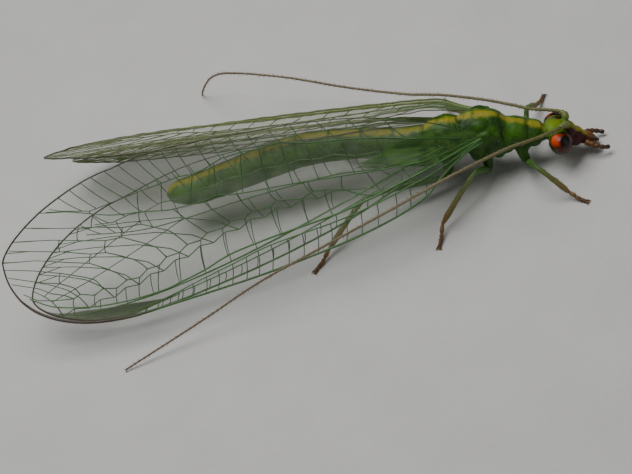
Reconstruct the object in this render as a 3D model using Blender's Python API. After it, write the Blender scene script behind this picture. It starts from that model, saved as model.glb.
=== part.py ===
"""Green lacewing at rest, a still life-size model of the whole insect.

The insect faces +X, its left side is +Y, and its feet stand on the plane Z = 0.
Sizes and places are given in millimetres and turned into metres by MM.
Legs, feelers and wings are thicker than the real ones, so that each is a sound solid.
"""

import math

import bmesh
import bpy
from mathutils import Matrix, Vector

MM = 0.001

# Clear space between pieces that meet, about a third of a leg's thickness
JOIN_GAP = 0.15
LIMB_RADIUS = 0.23
LIMB_TIP_SHARE = 0.62
LIMB_ROUND_SHARE = 0.55
LIMB_SIDES = 12
FEELER_RADIUS = 0.22
FEELER_TIP_SHARE = 0.5
FOOT_TIP_RADIUS = 0.16
WING_THICKNESS = 0.42
VEIN_RISE = 0.04
VEIN_HALF_WIDTH = 0.075

RIGHT = -1
LEFT = 1
SIDE_NAMES = {RIGHT: "right", LEFT: "left"}

# Each station of the body is x, y, z of its centre, half its width and half its height
PROTHORAX = (
    (6.37, -0.02, 0.98, 0.26, 0.20),
    (6.28, -0.01, 1.02, 0.36, 0.27),
    (6.00, 0.0, 1.08, 0.42, 0.34),
    (5.70, 0.0, 1.19, 0.43, 0.38),
    (5.58, 0.0, 1.25, 0.36, 0.34),
)
MESOTHORAX = (
    (5.39, 0.0, 1.36, 0.40, 0.41),
    (5.26, 0.0, 1.39, 0.53, 0.54),
    (4.95, 0.0, 1.42, 0.60, 0.62),
    (4.65, 0.0, 1.44, 0.60, 0.62),
    (4.45, 0.0, 1.47, 0.52, 0.53),
)
METATHORAX = (
    (4.26, 0.0, 1.47, 0.51, 0.52),
    (4.15, 0.0, 1.46, 0.57, 0.57),
    (3.75, 0.0, 1.48, 0.54, 0.56),
    (3.50, 0.0, 1.50, 0.44, 0.46),
)
ABDOMEN = (
    (3.31, 0.03, 1.52, 0.40, 0.39),
    (2.70, 0.10, 1.47, 0.42, 0.41),
    (1.40, 0.19, 1.69, 0.42, 0.41),
    (0.00, 0.24, 1.77, 0.46, 0.45),
    (-1.50, 0.19, 1.54, 0.46, 0.45),
    (-3.05, 0.08, 1.31, 0.43, 0.41),
    (-3.65, 0.03, 1.34, 0.35, 0.33),
)
ABDOMEN_TIP_X = -4.02
ABDOMEN_SEGMENTS = 8
SEGMENT_CREASE = 0.035
ABDOMEN_STEP = 0.25
TIP_ROUNDING = (0.6, 0.95)
BODY_SIDES = 16
ABDOMEN_SIDES = 14
HEAD_SIDES = 20
MOUTH_SIDES = 12
SHARP_ANGLE = 40

# The head points forwards and down, so its stations run along a sloping line
# Its places are given as if it looked straight ahead, and then it is turned to its left
# and tipped to that side, about its right eye
HEAD_TURN = 10.0
HEAD_TIP = 7.0
HEAD = (
    (6.62, 0.0, 1.03, 0.24, 0.22),
    (6.70, 0.0, 0.99, 0.40, 0.32),
    (6.90, 0.0, 0.91, 0.46, 0.36),
    (7.12, 0.0, 0.81, 0.42, 0.35),
    (7.30, 0.0, 0.69, 0.33, 0.27),
    (7.42, 0.0, 0.60, 0.25, 0.20),
)
EYE_CENTRE = (6.90, 0.49, 0.87)
EYE_RADIUS = 0.31
EYE_INNER_FACE = 0.38
EYE_SOCKET_FLOOR = 0.27
EYE_SOCKET_ROOM = 0.08
EYE_SOCKET_DEPTH = 1.0
EYE_SEGMENTS = 20
EYE_RINGS = 12
MOUTHPARTS = (
    (7.53, 0.0, 0.52, 0.21, 0.17),
    (7.64, 0.0, 0.45, 0.19, 0.16),
    (7.76, 0.0, 0.38, 0.11, 0.11),
)
PALP_ROUTE = ((7.72, 0.38, 0.40), (7.88, 0.42, 0.28), (8.08, 0.36, 0.24))
PALP_RADIUS = 0.12
PALP_TIP_SHARE = 0.6

SCAPE_ROUTE = ((7.14, 0.31, 1.31), (7.10, 0.36, 1.52))
SCAPE_RADIUS = 0.19
# Feeler routes start above the scapes and run back outside the wings
FEELER_ROUTE = {
    RIGHT: (
        (7.00, 0.50, 1.78),
        (6.60, 0.88, 1.90),
        (5.70, 1.62, 2.10),
        (4.20, 2.38, 2.12),
        (2.80, 2.92, 1.96),
        (0.45, 3.60, 1.56),
        (-1.10, 3.86, 1.12),
        (-2.85, 4.30, 0.55),
        (-5.05, 5.08, 0.09),
    ),
    LEFT: (
        (6.84, 0.70, 1.66),
        (6.60, 0.92, 1.53),
        (6.12, 1.18, 1.39),
        (5.52, 1.48, 1.25),
        (4.75, 1.92, 1.12),
        (3.70, 2.34, 1.09),
        (2.50, 3.05, 0.78),
        (0.80, 3.66, 1.00),
        (-0.80, 4.00, 1.42),
        (-2.50, 4.55, 1.54),
        (-3.39, 5.16, 1.10),
        (-3.91, 5.52, 0.50),
        (-4.16, 5.76, 0.06),
    ),
}
FEELER_LENGTHS = 3
FEELER_STEP = 0.7

# Each leg is coxa root, coxa end, knee, ankle and foot tip
LEGS = {
    ("fore", RIGHT): (
        (5.84, 0.34, 0.62), (5.90, 0.44, 0.32), (6.24, 1.34, 0.98), (6.92, 1.68, 0.34), (7.34, 1.98, 0.18),
    ),
    ("mid", RIGHT): (
        (4.90, 0.34, 0.66), (4.86, 0.44, 0.32), (4.62, 1.12, 1.00), (3.58, 1.98, 0.34), (3.44, 2.56, 0.18),
    ),
    ("hind", RIGHT): (
        (3.88, 0.34, 0.76), (3.72, 0.44, 0.36), (1.55, 1.00, 0.78), (0.46, 2.10, 0.28), (0.08, 2.64, 0.18),
    ),
    ("fore", LEFT): (
        (5.84, 0.34, 0.62), (5.90, 0.44, 0.32), (5.98, 1.36, 0.72), (6.14, 1.88, 0.34), (6.30, 2.46, 0.18),
    ),
    ("mid", LEFT): (
        (4.90, 0.34, 0.66), (4.86, 0.44, 0.32), (4.58, 1.30, 0.84), (3.66, 2.56, 0.34), (3.48, 3.14, 0.18),
    ),
    ("hind", LEFT): (
        (3.88, 0.34, 0.76), (3.72, 0.44, 0.36), (1.70, 0.92, 0.64), (0.74, 1.44, 0.32), (0.36, 1.94, 0.18),
    ),
}

# A wing's plane starts at its root point: sweep turns it outwards and slope tips it like a roof
FOREWING_POSE = {
    RIGHT: {"root": (5.05, 1.25, 2.08), "sweep": 5.4, "slope": 40.0, "pitch": -0.5},
    LEFT: {"root": (5.20, 1.00, 1.86), "sweep": 5.4, "slope": 32.5, "pitch": -0.5},
}
# Distance from the forewing to the hindwing under it, centre to centre
WING_LAYER_STEP = 0.64
HINDWING_SHIFT = 1.25
HINDWING_TURN = 5.9
HINDWING_RAISE = 0.12
ROOT_RUN = 1.0
# Where the wings meet the sides of the thorax
FOREWING_ANCHOR = (4.98, 1.08, 1.62)
HINDWING_ANCHOR = (3.92, 1.00, 1.22)

# A wing's lines in its own plane: u runs from root to apex, v from the costal to the hind margin
# Past the turn both margins round off to the apex, and a smaller roundness is more pointed
FOREWING = {
    "apex": 13.2,
    "turn": 9.8,
    "roundness": (2.3, 1.45),
    "costal": (
        (0.0, -0.24), (0.5, -0.36), (1.1, -0.66), (1.7, -1.05), (2.7, -1.40), (4.2, -1.70), (6.5, -1.98),
        (9.8, -2.20),
    ),
    "hind": (
        (0.0, 0.24), (0.5, 0.40), (1.2, 0.80), (2.2, 1.20), (3.5, 1.52), (5.5, 1.76), (8.3, 1.93),
        (9.8, 1.76),
    ),
    "radius": (
        (0.0, 0.0), (1.0, -0.25), (2.0, -0.50), (4.0, -0.92), (6.0, -1.22), (8.0, -1.60), (9.8, -1.86),
        (11.6, -1.72),
    ),
    "radius_end": 12.3,
    "sector": (
        (2.4, -0.60), (3.6, -0.33), (5.0, -0.22), (6.3, -0.30), (7.5, -0.56), (8.7, -0.90), (10.0, -1.24),
        (11.4, -1.44),
    ),
    "median": ((1.4, -0.35), (2.6, 0.02), (4.2, 0.15), (6.0, 0.32), (7.4, 0.32), (8.2, 0.36)),
    "cubitus": ((0.6, -0.15), (1.4, 0.36), (2.4, 0.66), (3.8, 0.90), (5.5, 1.06), (7.0, 1.12), (8.9, 1.10)),
    "ladders": (
        ("radius", "costal", 1.35, 11.2, 14, 0.16),
        ("sector", "radius", 3.4, 10.9, 9, 0.08),
        ("median", "sector", 3.5, 6.3, 4, -0.45),
        ("cubitus", "median", 2.3, 7.0, 5, 0.20),
        ("hind", "cubitus", 1.9, 8.3, 8, -0.42),
    ),
    "fan": (7.45, 11.2, 7),
    "fan_margin": 9.7,
    "tips": (11.0, 13.1),
}
HINDWING = {
    "apex": 11.6,
    "turn": 8.4,
    "roundness": (1.7, 1.6),
    "costal": (
        (0.0, -0.22), (0.6, -0.34), (1.5, -0.60), (3.0, -0.94), (5.0, -1.20), (7.0, -1.33), (8.4, -1.36),
    ),
    "hind": ((0.0, 0.22), (0.6, 0.45), (1.6, 1.00), (3.2, 1.56), (5.0, 1.90), (6.6, 1.99), (8.4, 1.78)),
    "radius": (
        (0.0, 0.0), (1.0, -0.12), (2.5, -0.38), (4.5, -0.68), (6.5, -0.90), (8.4, -0.98), (10.2, -0.80),
    ),
    "radius_end": 11.0,
    "sector": (
        (1.8, -0.25), (3.2, -0.02), (4.6, 0.02), (5.8, -0.08), (7.0, -0.26), (8.4, -0.50), (9.8, -0.70),
    ),
    "median": ((1.0, -0.12), (2.4, 0.38), (4.0, 0.58), (5.4, 0.66), (6.9, 0.64)),
    "cubitus": ((0.6, -0.07), (1.5, 0.58), (3.0, 1.02), (5.0, 1.28), (7.6, 1.26)),
    "ladders": (
        ("radius", "costal", 1.5, 9.6, 8, 0.14),
        ("sector", "radius", 3.0, 9.2, 6, 0.08),
        ("median", "sector", 3.0, 5.4, 3, -0.35),
        ("cubitus", "median", 2.4, 5.6, 3, 0.20),
        ("hind", "cubitus", 2.2, 7.0, 5, -0.36),
    ),
    "fan": (6.4, 9.6, 6),
    "fan_margin": 8.4,
    "tips": (9.5, 11.5),
}

# Where the veins get their points, and how the branches sweep
ROOT_MARK = 0.5
STEM_MARK = 0.6
APEX_MARKS = (0.5, 0.25, 0.1, 0.03)
STEP_ROWS = (0.42, 0.68)
BRANCH_MARK = 0.18
BRANCH_BEND = (0.26, 0.70)
BRANCH_CROWDING = 0.62
SECTOR_END_GAP = 0.4

BODY_GREEN = (0.16, 0.42, 0.05, 1.0)
THORAX_GREEN = (0.18, 0.40, 0.05, 1.0)
HEAD_GREEN = (0.42, 0.52, 0.06, 1.0)
EYE_COPPER = (0.55, 0.10, 0.02, 1.0)
MOUTH_MAROON = (0.20, 0.03, 0.02, 1.0)
PALP_BROWN = (0.06, 0.03, 0.02, 1.0)
FEELER_OLIVE = (0.30, 0.28, 0.14, 1.0)
LEG_GREEN = (0.28, 0.45, 0.16, 1.0)
FOOT_BROWN = (0.22, 0.13, 0.06, 1.0)
WING_GREEN = (0.50, 0.66, 0.46, 1.0)


def remove_everything():
    """Empty the scene without closing the file."""
    for thing in list(bpy.data.objects):
        bpy.data.objects.remove(thing, do_unlink=True)


def make_material(name, colour, roughness):
    """A plain Principled material with one colour."""
    material = bpy.data.materials.new(name)
    material.use_nodes = True
    shader = material.node_tree.nodes["Principled BSDF"]
    shader.inputs["Base Color"].default_value = colour
    shader.inputs["Roughness"].default_value = roughness
    shader.inputs["Metallic"].default_value = 0.0
    material.diffuse_color = colour
    return material


def place(point, side=LEFT):
    """A point given in millimetres for the left side, mirrored for the right one."""
    return Vector((point[0], side * point[1], point[2])) * MM


def turned_head():
    """The head's turn and tip about its right eye, as a matrix."""
    turn = Matrix.Rotation(math.radians(HEAD_TURN), 4, "Z")
    tip = Matrix.Rotation(math.radians(-HEAD_TIP), 4, "X")
    pivot = Matrix.Translation(place(EYE_CENTRE, RIGHT))
    return pivot @ turn @ tip @ pivot.inverted()


def through(points, step):
    """Points about one step apart on a smooth curve through the given ones."""
    route = []
    last = len(points) - 1
    for index in range(last):
        before = points[max(index - 1, 0)]
        start = points[index]
        end = points[index + 1]
        after = points[min(index + 2, last)]
        pieces = max(1, round((end - start).length / step))
        for piece in range(pieces):
            t = piece / pieces
            pull_start = (end - before) * 0.5
            pull_end = (after - start) * 0.5
            place_on_curve = (
                start * (2 * t**3 - 3 * t**2 + 1)
                + pull_start * (t**3 - 2 * t**2 + t)
                + end * (3 * t**2 - 2 * t**3)
                + pull_end * (t**3 - t**2)
            )
            route.append(place_on_curve)
    route.append(points[last].copy())
    return route


class Builder:
    """Keeps the collections and the empties that carry the pieces."""

    def __init__(self):
        self.collection = bpy.data.collections.new("green_lacewing")
        bpy.context.scene.collection.children.link(self.collection)
        self.cutters = bpy.data.collections.new("cutters")
        bpy.context.scene.collection.children.link(self.cutters)
        self.carriers = {}

    def carrier(self, name, location=(0.0, 0.0, 0.0)):
        """An empty that carries one group of pieces."""
        empty = bpy.data.objects.new(name, None)
        empty.location = Vector(location) * MM
        self.collection.objects.link(empty)
        self.carriers[name] = empty
        return empty

    def add(self, name, data, material, group):
        """Make a named object from a mesh or a curve whose points are in the world frame."""
        thing = bpy.data.objects.new(name, data)
        self.collection.objects.link(thing)
        data.materials.append(material)
        empty = self.carriers[group]
        thing.parent = empty
        thing.location = -empty.location
        if isinstance(data, bpy.types.Mesh):
            data.shade_smooth()
            data.set_sharp_from_angle(angle=math.radians(SHARP_ANGLE))
        return thing


def ring(centre, forwards, half_width, half_height, sides):
    """An upright oval across the body's line."""
    across = Vector((0.0, 0.0, 1.0)).cross(forwards).normalized()
    upwards = forwards.cross(across).normalized()
    points = []
    for index in range(sides):
        angle = 2 * math.pi * index / sides
        aside = across * half_width * math.cos(angle)
        above = upwards * half_height * math.sin(angle)
        points.append(centre + aside + above)
    return points


def loft(name, rings):
    """A closed mesh through rings of equal count, its ends closed by fans."""
    shell = bmesh.new()
    rows = [[shell.verts.new(point) for point in row] for row in rings]
    count = len(rows[0])
    for first, second in zip(rows, rows[1:]):
        for index in range(count):
            after = (index + 1) % count
            shell.faces.new((first[index], first[after], second[after], second[index]))
    for row in (rows[0], rows[-1]):
        centre = sum((corner.co for corner in row), Vector()) / count
        middle = shell.verts.new(centre)
        for index in range(count):
            shell.faces.new((row[index], row[(index + 1) % count], middle))
    bmesh.ops.recalc_face_normals(shell, faces=shell.faces)
    mesh = bpy.data.meshes.new(name)
    shell.to_mesh(mesh)
    shell.free()
    return mesh


def station_rings(stations, sides=BODY_SIDES):
    """Ovals across a line of body stations."""
    centres = [place(station[:3]) for station in stations]
    rings = []
    for index, station in enumerate(stations):
        ahead = centres[max(index - 1, 0)]
        behind = centres[min(index + 1, len(centres) - 1)]
        forwards = (ahead - behind).normalized()
        rings.append(ring(centres[index], forwards, station[3] * MM, station[4] * MM, sides))
    return rings


def abdomen_stations():
    """The abdomen's stations, with a shallow crease between its segments and a round tip."""
    centres = [Vector(station[:3]) for station in ABDOMEN]
    sizes = [Vector((station[3], station[4], 0.0)) for station in ABDOMEN]
    route = through(centres, ABDOMEN_STEP)
    girths = []
    last = len(centres) - 1
    for index in range(last):
        pieces = max(1, round((centres[index + 1] - centres[index]).length / ABDOMEN_STEP))
        girths += [sizes[index].lerp(sizes[index + 1], piece / pieces) for piece in range(pieces)]
    girths.append(sizes[last])
    stations = []
    marks = ABDOMEN_SEGMENTS * 3
    for mark in range(marks + 1):
        spot = mark / marks * (len(route) - 1)
        low = min(int(spot), len(route) - 2)
        centre = route[low].lerp(route[low + 1], spot - low)
        girth = girths[low].lerp(girths[low + 1], spot - low)
        shrink = SEGMENT_CREASE if mark % 3 == 0 else 0.0
        stations.append((*centre, girth.x - shrink, girth.y - shrink))
    tail = stations[-1]
    tail_length = tail[0] - ABDOMEN_TIP_X
    for part in TIP_ROUNDING:
        shrink = math.sqrt(1 - part**2)
        stations.append((tail[0] - part * tail_length, tail[1], tail[2], tail[3] * shrink, tail[4] * shrink))
    return stations


def tube(name, route, radii, resolution=2):
    """A round tube along a route, as a curve with closed ends."""
    curve = bpy.data.curves.new(name, "CURVE")
    curve.dimensions = "3D"
    curve.bevel_depth = MM
    curve.bevel_resolution = resolution
    curve.use_fill_caps = True
    spline = curve.splines.new("POLY")
    spline.points.add(len(route) - 1)
    for point, position, radius in zip(spline.points, route, radii):
        point.co = (*position, 1.0)
        point.radius = radius
    return curve


def tube_mesh(builder, name, route, radii, resolution=2):
    """The tube of a route as a closed mesh with its caps welded on."""
    curve = tube(name, route, radii, resolution)
    holder = bpy.data.objects.new(name, curve)
    builder.collection.objects.link(holder)
    seen = holder.evaluated_get(bpy.context.evaluated_depsgraph_get())
    mesh = bpy.data.meshes.new_from_object(seen)
    bpy.data.objects.remove(holder, do_unlink=True)
    bpy.data.curves.remove(curve)
    shell = bmesh.new()
    shell.from_mesh(mesh)
    bmesh.ops.remove_doubles(shell, verts=shell.verts, dist=1e-6)
    bmesh.ops.recalc_face_normals(shell, faces=shell.faces)
    shell.to_mesh(mesh)
    shell.free()
    mesh.name = name
    return mesh


def slanted_ring(centre, along, radius, face_point, face_normal):
    """A round section whose points are slid along a limb until they lie on a slanted face."""
    across = along.orthogonal().normalized()
    upwards = along.cross(across)
    points = []
    for index in range(LIMB_SIDES):
        angle = 2 * math.pi * index / LIMB_SIDES
        point = centre + (across * math.cos(angle) + upwards * math.sin(angle)) * radius * MM
        slide = (face_point - point).dot(face_normal) / along.dot(face_normal)
        points.append(point + along * slide)
    return points


def rounded_tip(end, along, radius, tip_radius):
    """Two round sections that close a limb with a soft tip."""
    shoulder = end - along * LIMB_ROUND_SHARE * radius * MM
    return [
        slanted_ring(shoulder, along, radius, shoulder, along),
        slanted_ring(end, along, tip_radius, end, along),
    ]


def rest_on_floor(mesh):
    """Flatten what would reach below the floor, so that a foot stands on a small flat."""
    for corner in mesh.vertices:
        corner.co.z = max(corner.co.z, 0.0)
    mesh.update()


def make_body(builder, paints):
    """Thorax in its three rings, and the abdomen."""
    for name, stations in (("prothorax", PROTHORAX), ("mesothorax", MESOTHORAX), ("metathorax", METATHORAX)):
        mesh = loft(name, station_rings(stations))
        builder.add(name, mesh, paints["thorax"], "thorax_carrier")
    mesh = loft("abdomen", station_rings(abdomen_stations(), ABDOMEN_SIDES))
    builder.add("abdomen", mesh, paints["body"], "abdomen_carrier")


def eye_mesh(name, side):
    """A domed eye with a flat inner face."""
    shell = bmesh.new()
    bmesh.ops.create_uvsphere(shell, u_segments=EYE_SEGMENTS, v_segments=EYE_RINGS, radius=EYE_RADIUS * MM)
    bmesh.ops.translate(shell, verts=shell.verts, vec=place(EYE_CENTRE, side))
    cut_place = Vector((0.0, side * EYE_INNER_FACE, 0.0)) * MM
    everything = shell.verts[:] + shell.edges[:] + shell.faces[:]
    inwards = Vector((0.0, -side, 0.0))
    cut = bmesh.ops.bisect_plane(
        shell, geom=everything, plane_co=cut_place, plane_no=inwards, clear_outer=True
    )
    rim = [thing for thing in cut["geom_cut"] if isinstance(thing, bmesh.types.BMEdge)]
    bmesh.ops.edgenet_fill(shell, edges=rim)
    bmesh.ops.recalc_face_normals(shell, faces=shell.faces)
    mesh = bpy.data.meshes.new(name)
    shell.to_mesh(mesh)
    shell.free()
    return mesh


def eye_socket_cutter(builder, side):
    """A round plug that sinks a flat-floored socket into one side of the head."""
    shell = bmesh.new()
    bmesh.ops.create_cone(
        shell,
        cap_ends=True,
        segments=EYE_SEGMENTS,
        radius1=(EYE_RADIUS + EYE_SOCKET_ROOM) * MM,
        radius2=(EYE_RADIUS + EYE_SOCKET_ROOM) * MM,
        depth=EYE_SOCKET_DEPTH * MM,
    )
    mesh = bpy.data.meshes.new("eye_socket_cutter")
    shell.to_mesh(mesh)
    shell.free()
    centre = (EYE_CENTRE[0], EYE_SOCKET_FLOOR + EYE_SOCKET_DEPTH / 2, EYE_CENTRE[2])
    sideways = Matrix.Translation(place(centre, side)) @ Matrix.Rotation(math.radians(90), 4, "X")
    mesh.transform(turned_head() @ sideways)
    cutter = bpy.data.objects.new("eye_socket_cutter_" + SIDE_NAMES[side], mesh)
    cutter.hide_render = True
    cutter.display_type = "WIRE"
    builder.cutters.objects.link(cutter)
    return cutter


def make_head(builder, paints):
    """Head, eyes, mouthparts and palps."""
    pose = turned_head()
    mesh = loft("head", station_rings(HEAD, HEAD_SIDES))
    mesh.transform(pose)
    head = builder.add("head", mesh, paints["head"], "head_carrier")
    for side in (RIGHT, LEFT):
        label = SIDE_NAMES[side]
        sink = head.modifiers.new("eye_socket_" + label, "BOOLEAN")
        sink.operation = "DIFFERENCE"
        sink.solver = "EXACT"
        sink.object = eye_socket_cutter(builder, side)
        mesh = eye_mesh("eye_" + label, side)
        mesh.transform(pose)
        builder.add("eye_" + label, mesh, paints["eye"], "head_carrier")
        route = [place(point, side) for point in PALP_ROUTE]
        radii = [PALP_RADIUS, PALP_RADIUS, PALP_RADIUS * PALP_TIP_SHARE]
        mesh = tube_mesh(builder, "palp_" + label, route, radii)
        mesh.transform(pose)
        rest_on_floor(mesh)
        builder.add("palp_" + label, mesh, paints["palp"], "head_carrier")
    mesh = loft("mouthparts", station_rings(MOUTHPARTS, MOUTH_SIDES))
    mesh.transform(pose)
    builder.add("mouthparts", mesh, paints["mouth"], "head_carrier")


def make_feelers(builder, paints):
    """A scape and a long feeler in a few lengths on each side."""
    for side in (RIGHT, LEFT):
        label = SIDE_NAMES[side]
        start, end = (place(point, side) for point in SCAPE_ROUTE)
        along = (end - start).normalized()
        shoulder = start + along * LIMB_ROUND_SHARE * SCAPE_RADIUS * MM
        rings = [
            slanted_ring(start, along, SCAPE_RADIUS * LIMB_TIP_SHARE, start, along),
            slanted_ring(shoulder, along, SCAPE_RADIUS, shoulder, along),
        ]
        rings += rounded_tip(end, along, SCAPE_RADIUS, SCAPE_RADIUS * LIMB_TIP_SHARE)
        mesh = loft("scape_" + label, rings)
        mesh.transform(turned_head())
        builder.add("scape_" + label, mesh, paints["head"], "head_carrier")
        points = [place(point, side) for point in FEELER_ROUTE[side]]
        route = through(points, FEELER_STEP * MM)
        share = math.ceil(len(route) / FEELER_LENGTHS)
        for length in range(FEELER_LENGTHS):
            stretch = route[length * share:(length + 1) * share + 1]
            if length > 0:
                stretch[0] = stretch[0] + (stretch[1] - stretch[0]).normalized() * JOIN_GAP * MM
            radii = [FEELER_RADIUS] * len(stretch)
            if length == FEELER_LENGTHS - 1:
                radii[-1] = FEELER_RADIUS * FEELER_TIP_SHARE
            name = "feeler_" + label + "_" + str(length + 1)
            mesh = tube_mesh(builder, name, stretch, radii)
            rest_on_floor(mesh)
            builder.add(name, mesh, paints["feeler"], "head_carrier")


def make_legs(builder, paints):
    """Six legs, each of coxa, femur, tibia and tarsus, that meet face to face at their joints."""
    half_gap = JOIN_GAP / 2 * MM
    for (pair, side), joints in LEGS.items():
        root, hip, knee, ankle, toe = (place(joint, side) for joint in joints)
        coxa_way = (hip - root).normalized()
        femur_way = (knee - hip).normalized()
        tibia_way = (ankle - knee).normalized()
        tarsus_way = (toe - ankle).normalized()
        upright = Vector((0.0, 0.0, -1.0))
        knee_way = (femur_way + tibia_way).normalized()
        ankle_way = (tibia_way + tarsus_way).normalized()
        beside_coxa = (femur_way - coxa_way * femur_way.dot(coxa_way)).normalized()
        hip_face = hip + beside_coxa * (LIMB_RADIUS + JOIN_GAP) * MM
        lengths = {
            "coxa": [slanted_ring(root, coxa_way, LIMB_RADIUS, root, upright)]
            + rounded_tip(hip, coxa_way, LIMB_RADIUS, LIMB_RADIUS * LIMB_TIP_SHARE),
            "femur": [
                slanted_ring(hip, femur_way, LIMB_RADIUS, hip_face, beside_coxa),
                slanted_ring(knee, femur_way, LIMB_RADIUS, knee - knee_way * half_gap, knee_way),
            ],
            "tibia": [
                slanted_ring(knee, tibia_way, LIMB_RADIUS, knee + knee_way * half_gap, knee_way),
                slanted_ring(ankle, tibia_way, LIMB_RADIUS, ankle - ankle_way * half_gap, ankle_way),
            ],
            "tarsus": [slanted_ring(ankle, tarsus_way, LIMB_RADIUS, ankle + ankle_way * half_gap, ankle_way)]
            + rounded_tip(toe, tarsus_way, LIMB_RADIUS, FOOT_TIP_RADIUS),
        }
        for segment, rings in lengths.items():
            name = "leg_" + pair + "_" + SIDE_NAMES[side] + "_" + segment
            mesh = loft(name, rings)
            rest_on_floor(mesh)
            builder.add(name, mesh, paints["foot" if segment == "tarsus" else "leg"], "leg_carrier")


def smooth_line(points):
    """A smooth function v(u) through a few points of a vein or margin."""
    def height(u):
        last = len(points) - 1
        index = 0
        while index < last - 1 and u > points[index + 1][0]:
            index += 1
        u0, v0 = points[index]
        u1, v1 = points[index + 1]
        span = u1 - u0
        before = points[index - 1] if index > 0 else (u0 - span, v0 - (v1 - v0))
        after = points[index + 2] if index + 2 <= last else (u1 + span, v1 + (v1 - v0))
        lean0 = (v1 - before[1]) / (u1 - before[0]) * span
        lean1 = (after[1] - v0) / (after[0] - u0) * span
        t = min(max((u - u0) / span, 0.0), 1.0)
        start_share = (2 * t**3 - 3 * t**2 + 1) * v0 + (t**3 - 2 * t**2 + t) * lean0
        end_share = (3 * t**2 - 2 * t**3) * v1 + (t**3 - t**2) * lean1
        return start_share + end_share
    return height


class VeinNet:
    """Veins drawn on a wing's plane, and the cells that they leave between them."""

    def __init__(self):
        self.points = []
        self.numbers = {}
        self.links = set()
        self.veins = {}

    def number(self, u, v):
        """The number of the point at a place, made if there is none yet."""
        key = (round(u, 3), round(v, 3))
        if key not in self.numbers:
            self.numbers[key] = len(self.points)
            self.points.append(key)
        return self.numbers[key]

    def draw(self, name, curve, marks):
        """Start a vein that follows a curve and has points at the given marks."""
        self.veins[name] = (curve, {})
        for mark in marks:
            self.mark(name, mark)

    def mark(self, name, t):
        """Put a point on a vein."""
        curve, marks = self.veins[name]
        key = round(t, 3)
        if key not in marks:
            marks[key] = self.number(*curve(t))
        return marks[key]

    def meet(self, name, t, other, other_t):
        """Let a vein end on a point of another vein."""
        self.veins[name][1][round(t, 3)] = self.mark(other, other_t)

    def cross(self, name, t, other, other_t):
        """Join two veins by a crossvein."""
        self.links.add(frozenset((self.mark(name, t), self.mark(other, other_t))))

    def close(self):
        """Join the points along each vein."""
        for curve, marks in self.veins.values():
            numbers = [marks[t] for t in sorted(marks)]
            for first, second in zip(numbers, numbers[1:]):
                if first != second:
                    self.links.add(frozenset((first, second)))

    def area(self, loop):
        """The signed area of a loop of points."""
        total = 0.0
        for first, second in zip(loop, loop[1:] + loop[:1]):
            u0, v0 = self.points[first]
            u1, v1 = self.points[second]
            total += u0 * v1 - u1 * v0
        return total / 2

    def cells(self):
        """Every closed cell in turning order, found by walking each vein both ways."""
        around = {}
        for link in sorted(sorted(pair) for pair in self.links):
            around.setdefault(link[0], []).append(link[1])
            around.setdefault(link[1], []).append(link[0])
        for number, others in around.items():
            u, v = self.points[number]
            others.sort(key=lambda other: math.atan2(self.points[other][1] - v, self.points[other][0] - u))
        walked = set()
        found = []
        for start in sorted(around):
            for after in around[start]:
                here = start
                there = after
                loop = []
                while (here, there) not in walked:
                    walked.add((here, there))
                    loop.append(here)
                    others = around[there]
                    turn = others[(others.index(here) - 1) % len(others)]
                    here = there
                    there = turn
                if len(loop) > 2 and self.area(loop) > 0:
                    found.append(loop)
        return found


def spread(start, end, count):
    """Evenly spaced values with both ends."""
    return [start + (end - start) * index / (count - 1) for index in range(count)]


def margin(points, turn, apex, power):
    """A wing's margin: a smooth line to the turn, then a rounded end to the apex."""
    line = smooth_line(points)

    def curve(u):
        if u <= turn:
            return u, line(u)
        share = min((u - turn) / (apex - turn), 1.0)
        return u, line(turn) * (1 - share**power) ** (1 / power)

    return curve


def vein(points):
    """A vein that runs through a few points."""
    line = smooth_line(points)
    return lambda u: (u, line(u))


def branch(start, bend, end):
    """A vein that leaves its stem at a bend and sweeps out to the margin."""
    def curve(t):
        u = start[0] * (1 - t) ** 2 + 2 * bend[0] * t * (1 - t) + end[0] * t**2
        v = start[1] * (1 - t) ** 2 + 2 * bend[1] * t * (1 - t) + end[1] * t**2
        return u, v
    return curve


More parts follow.
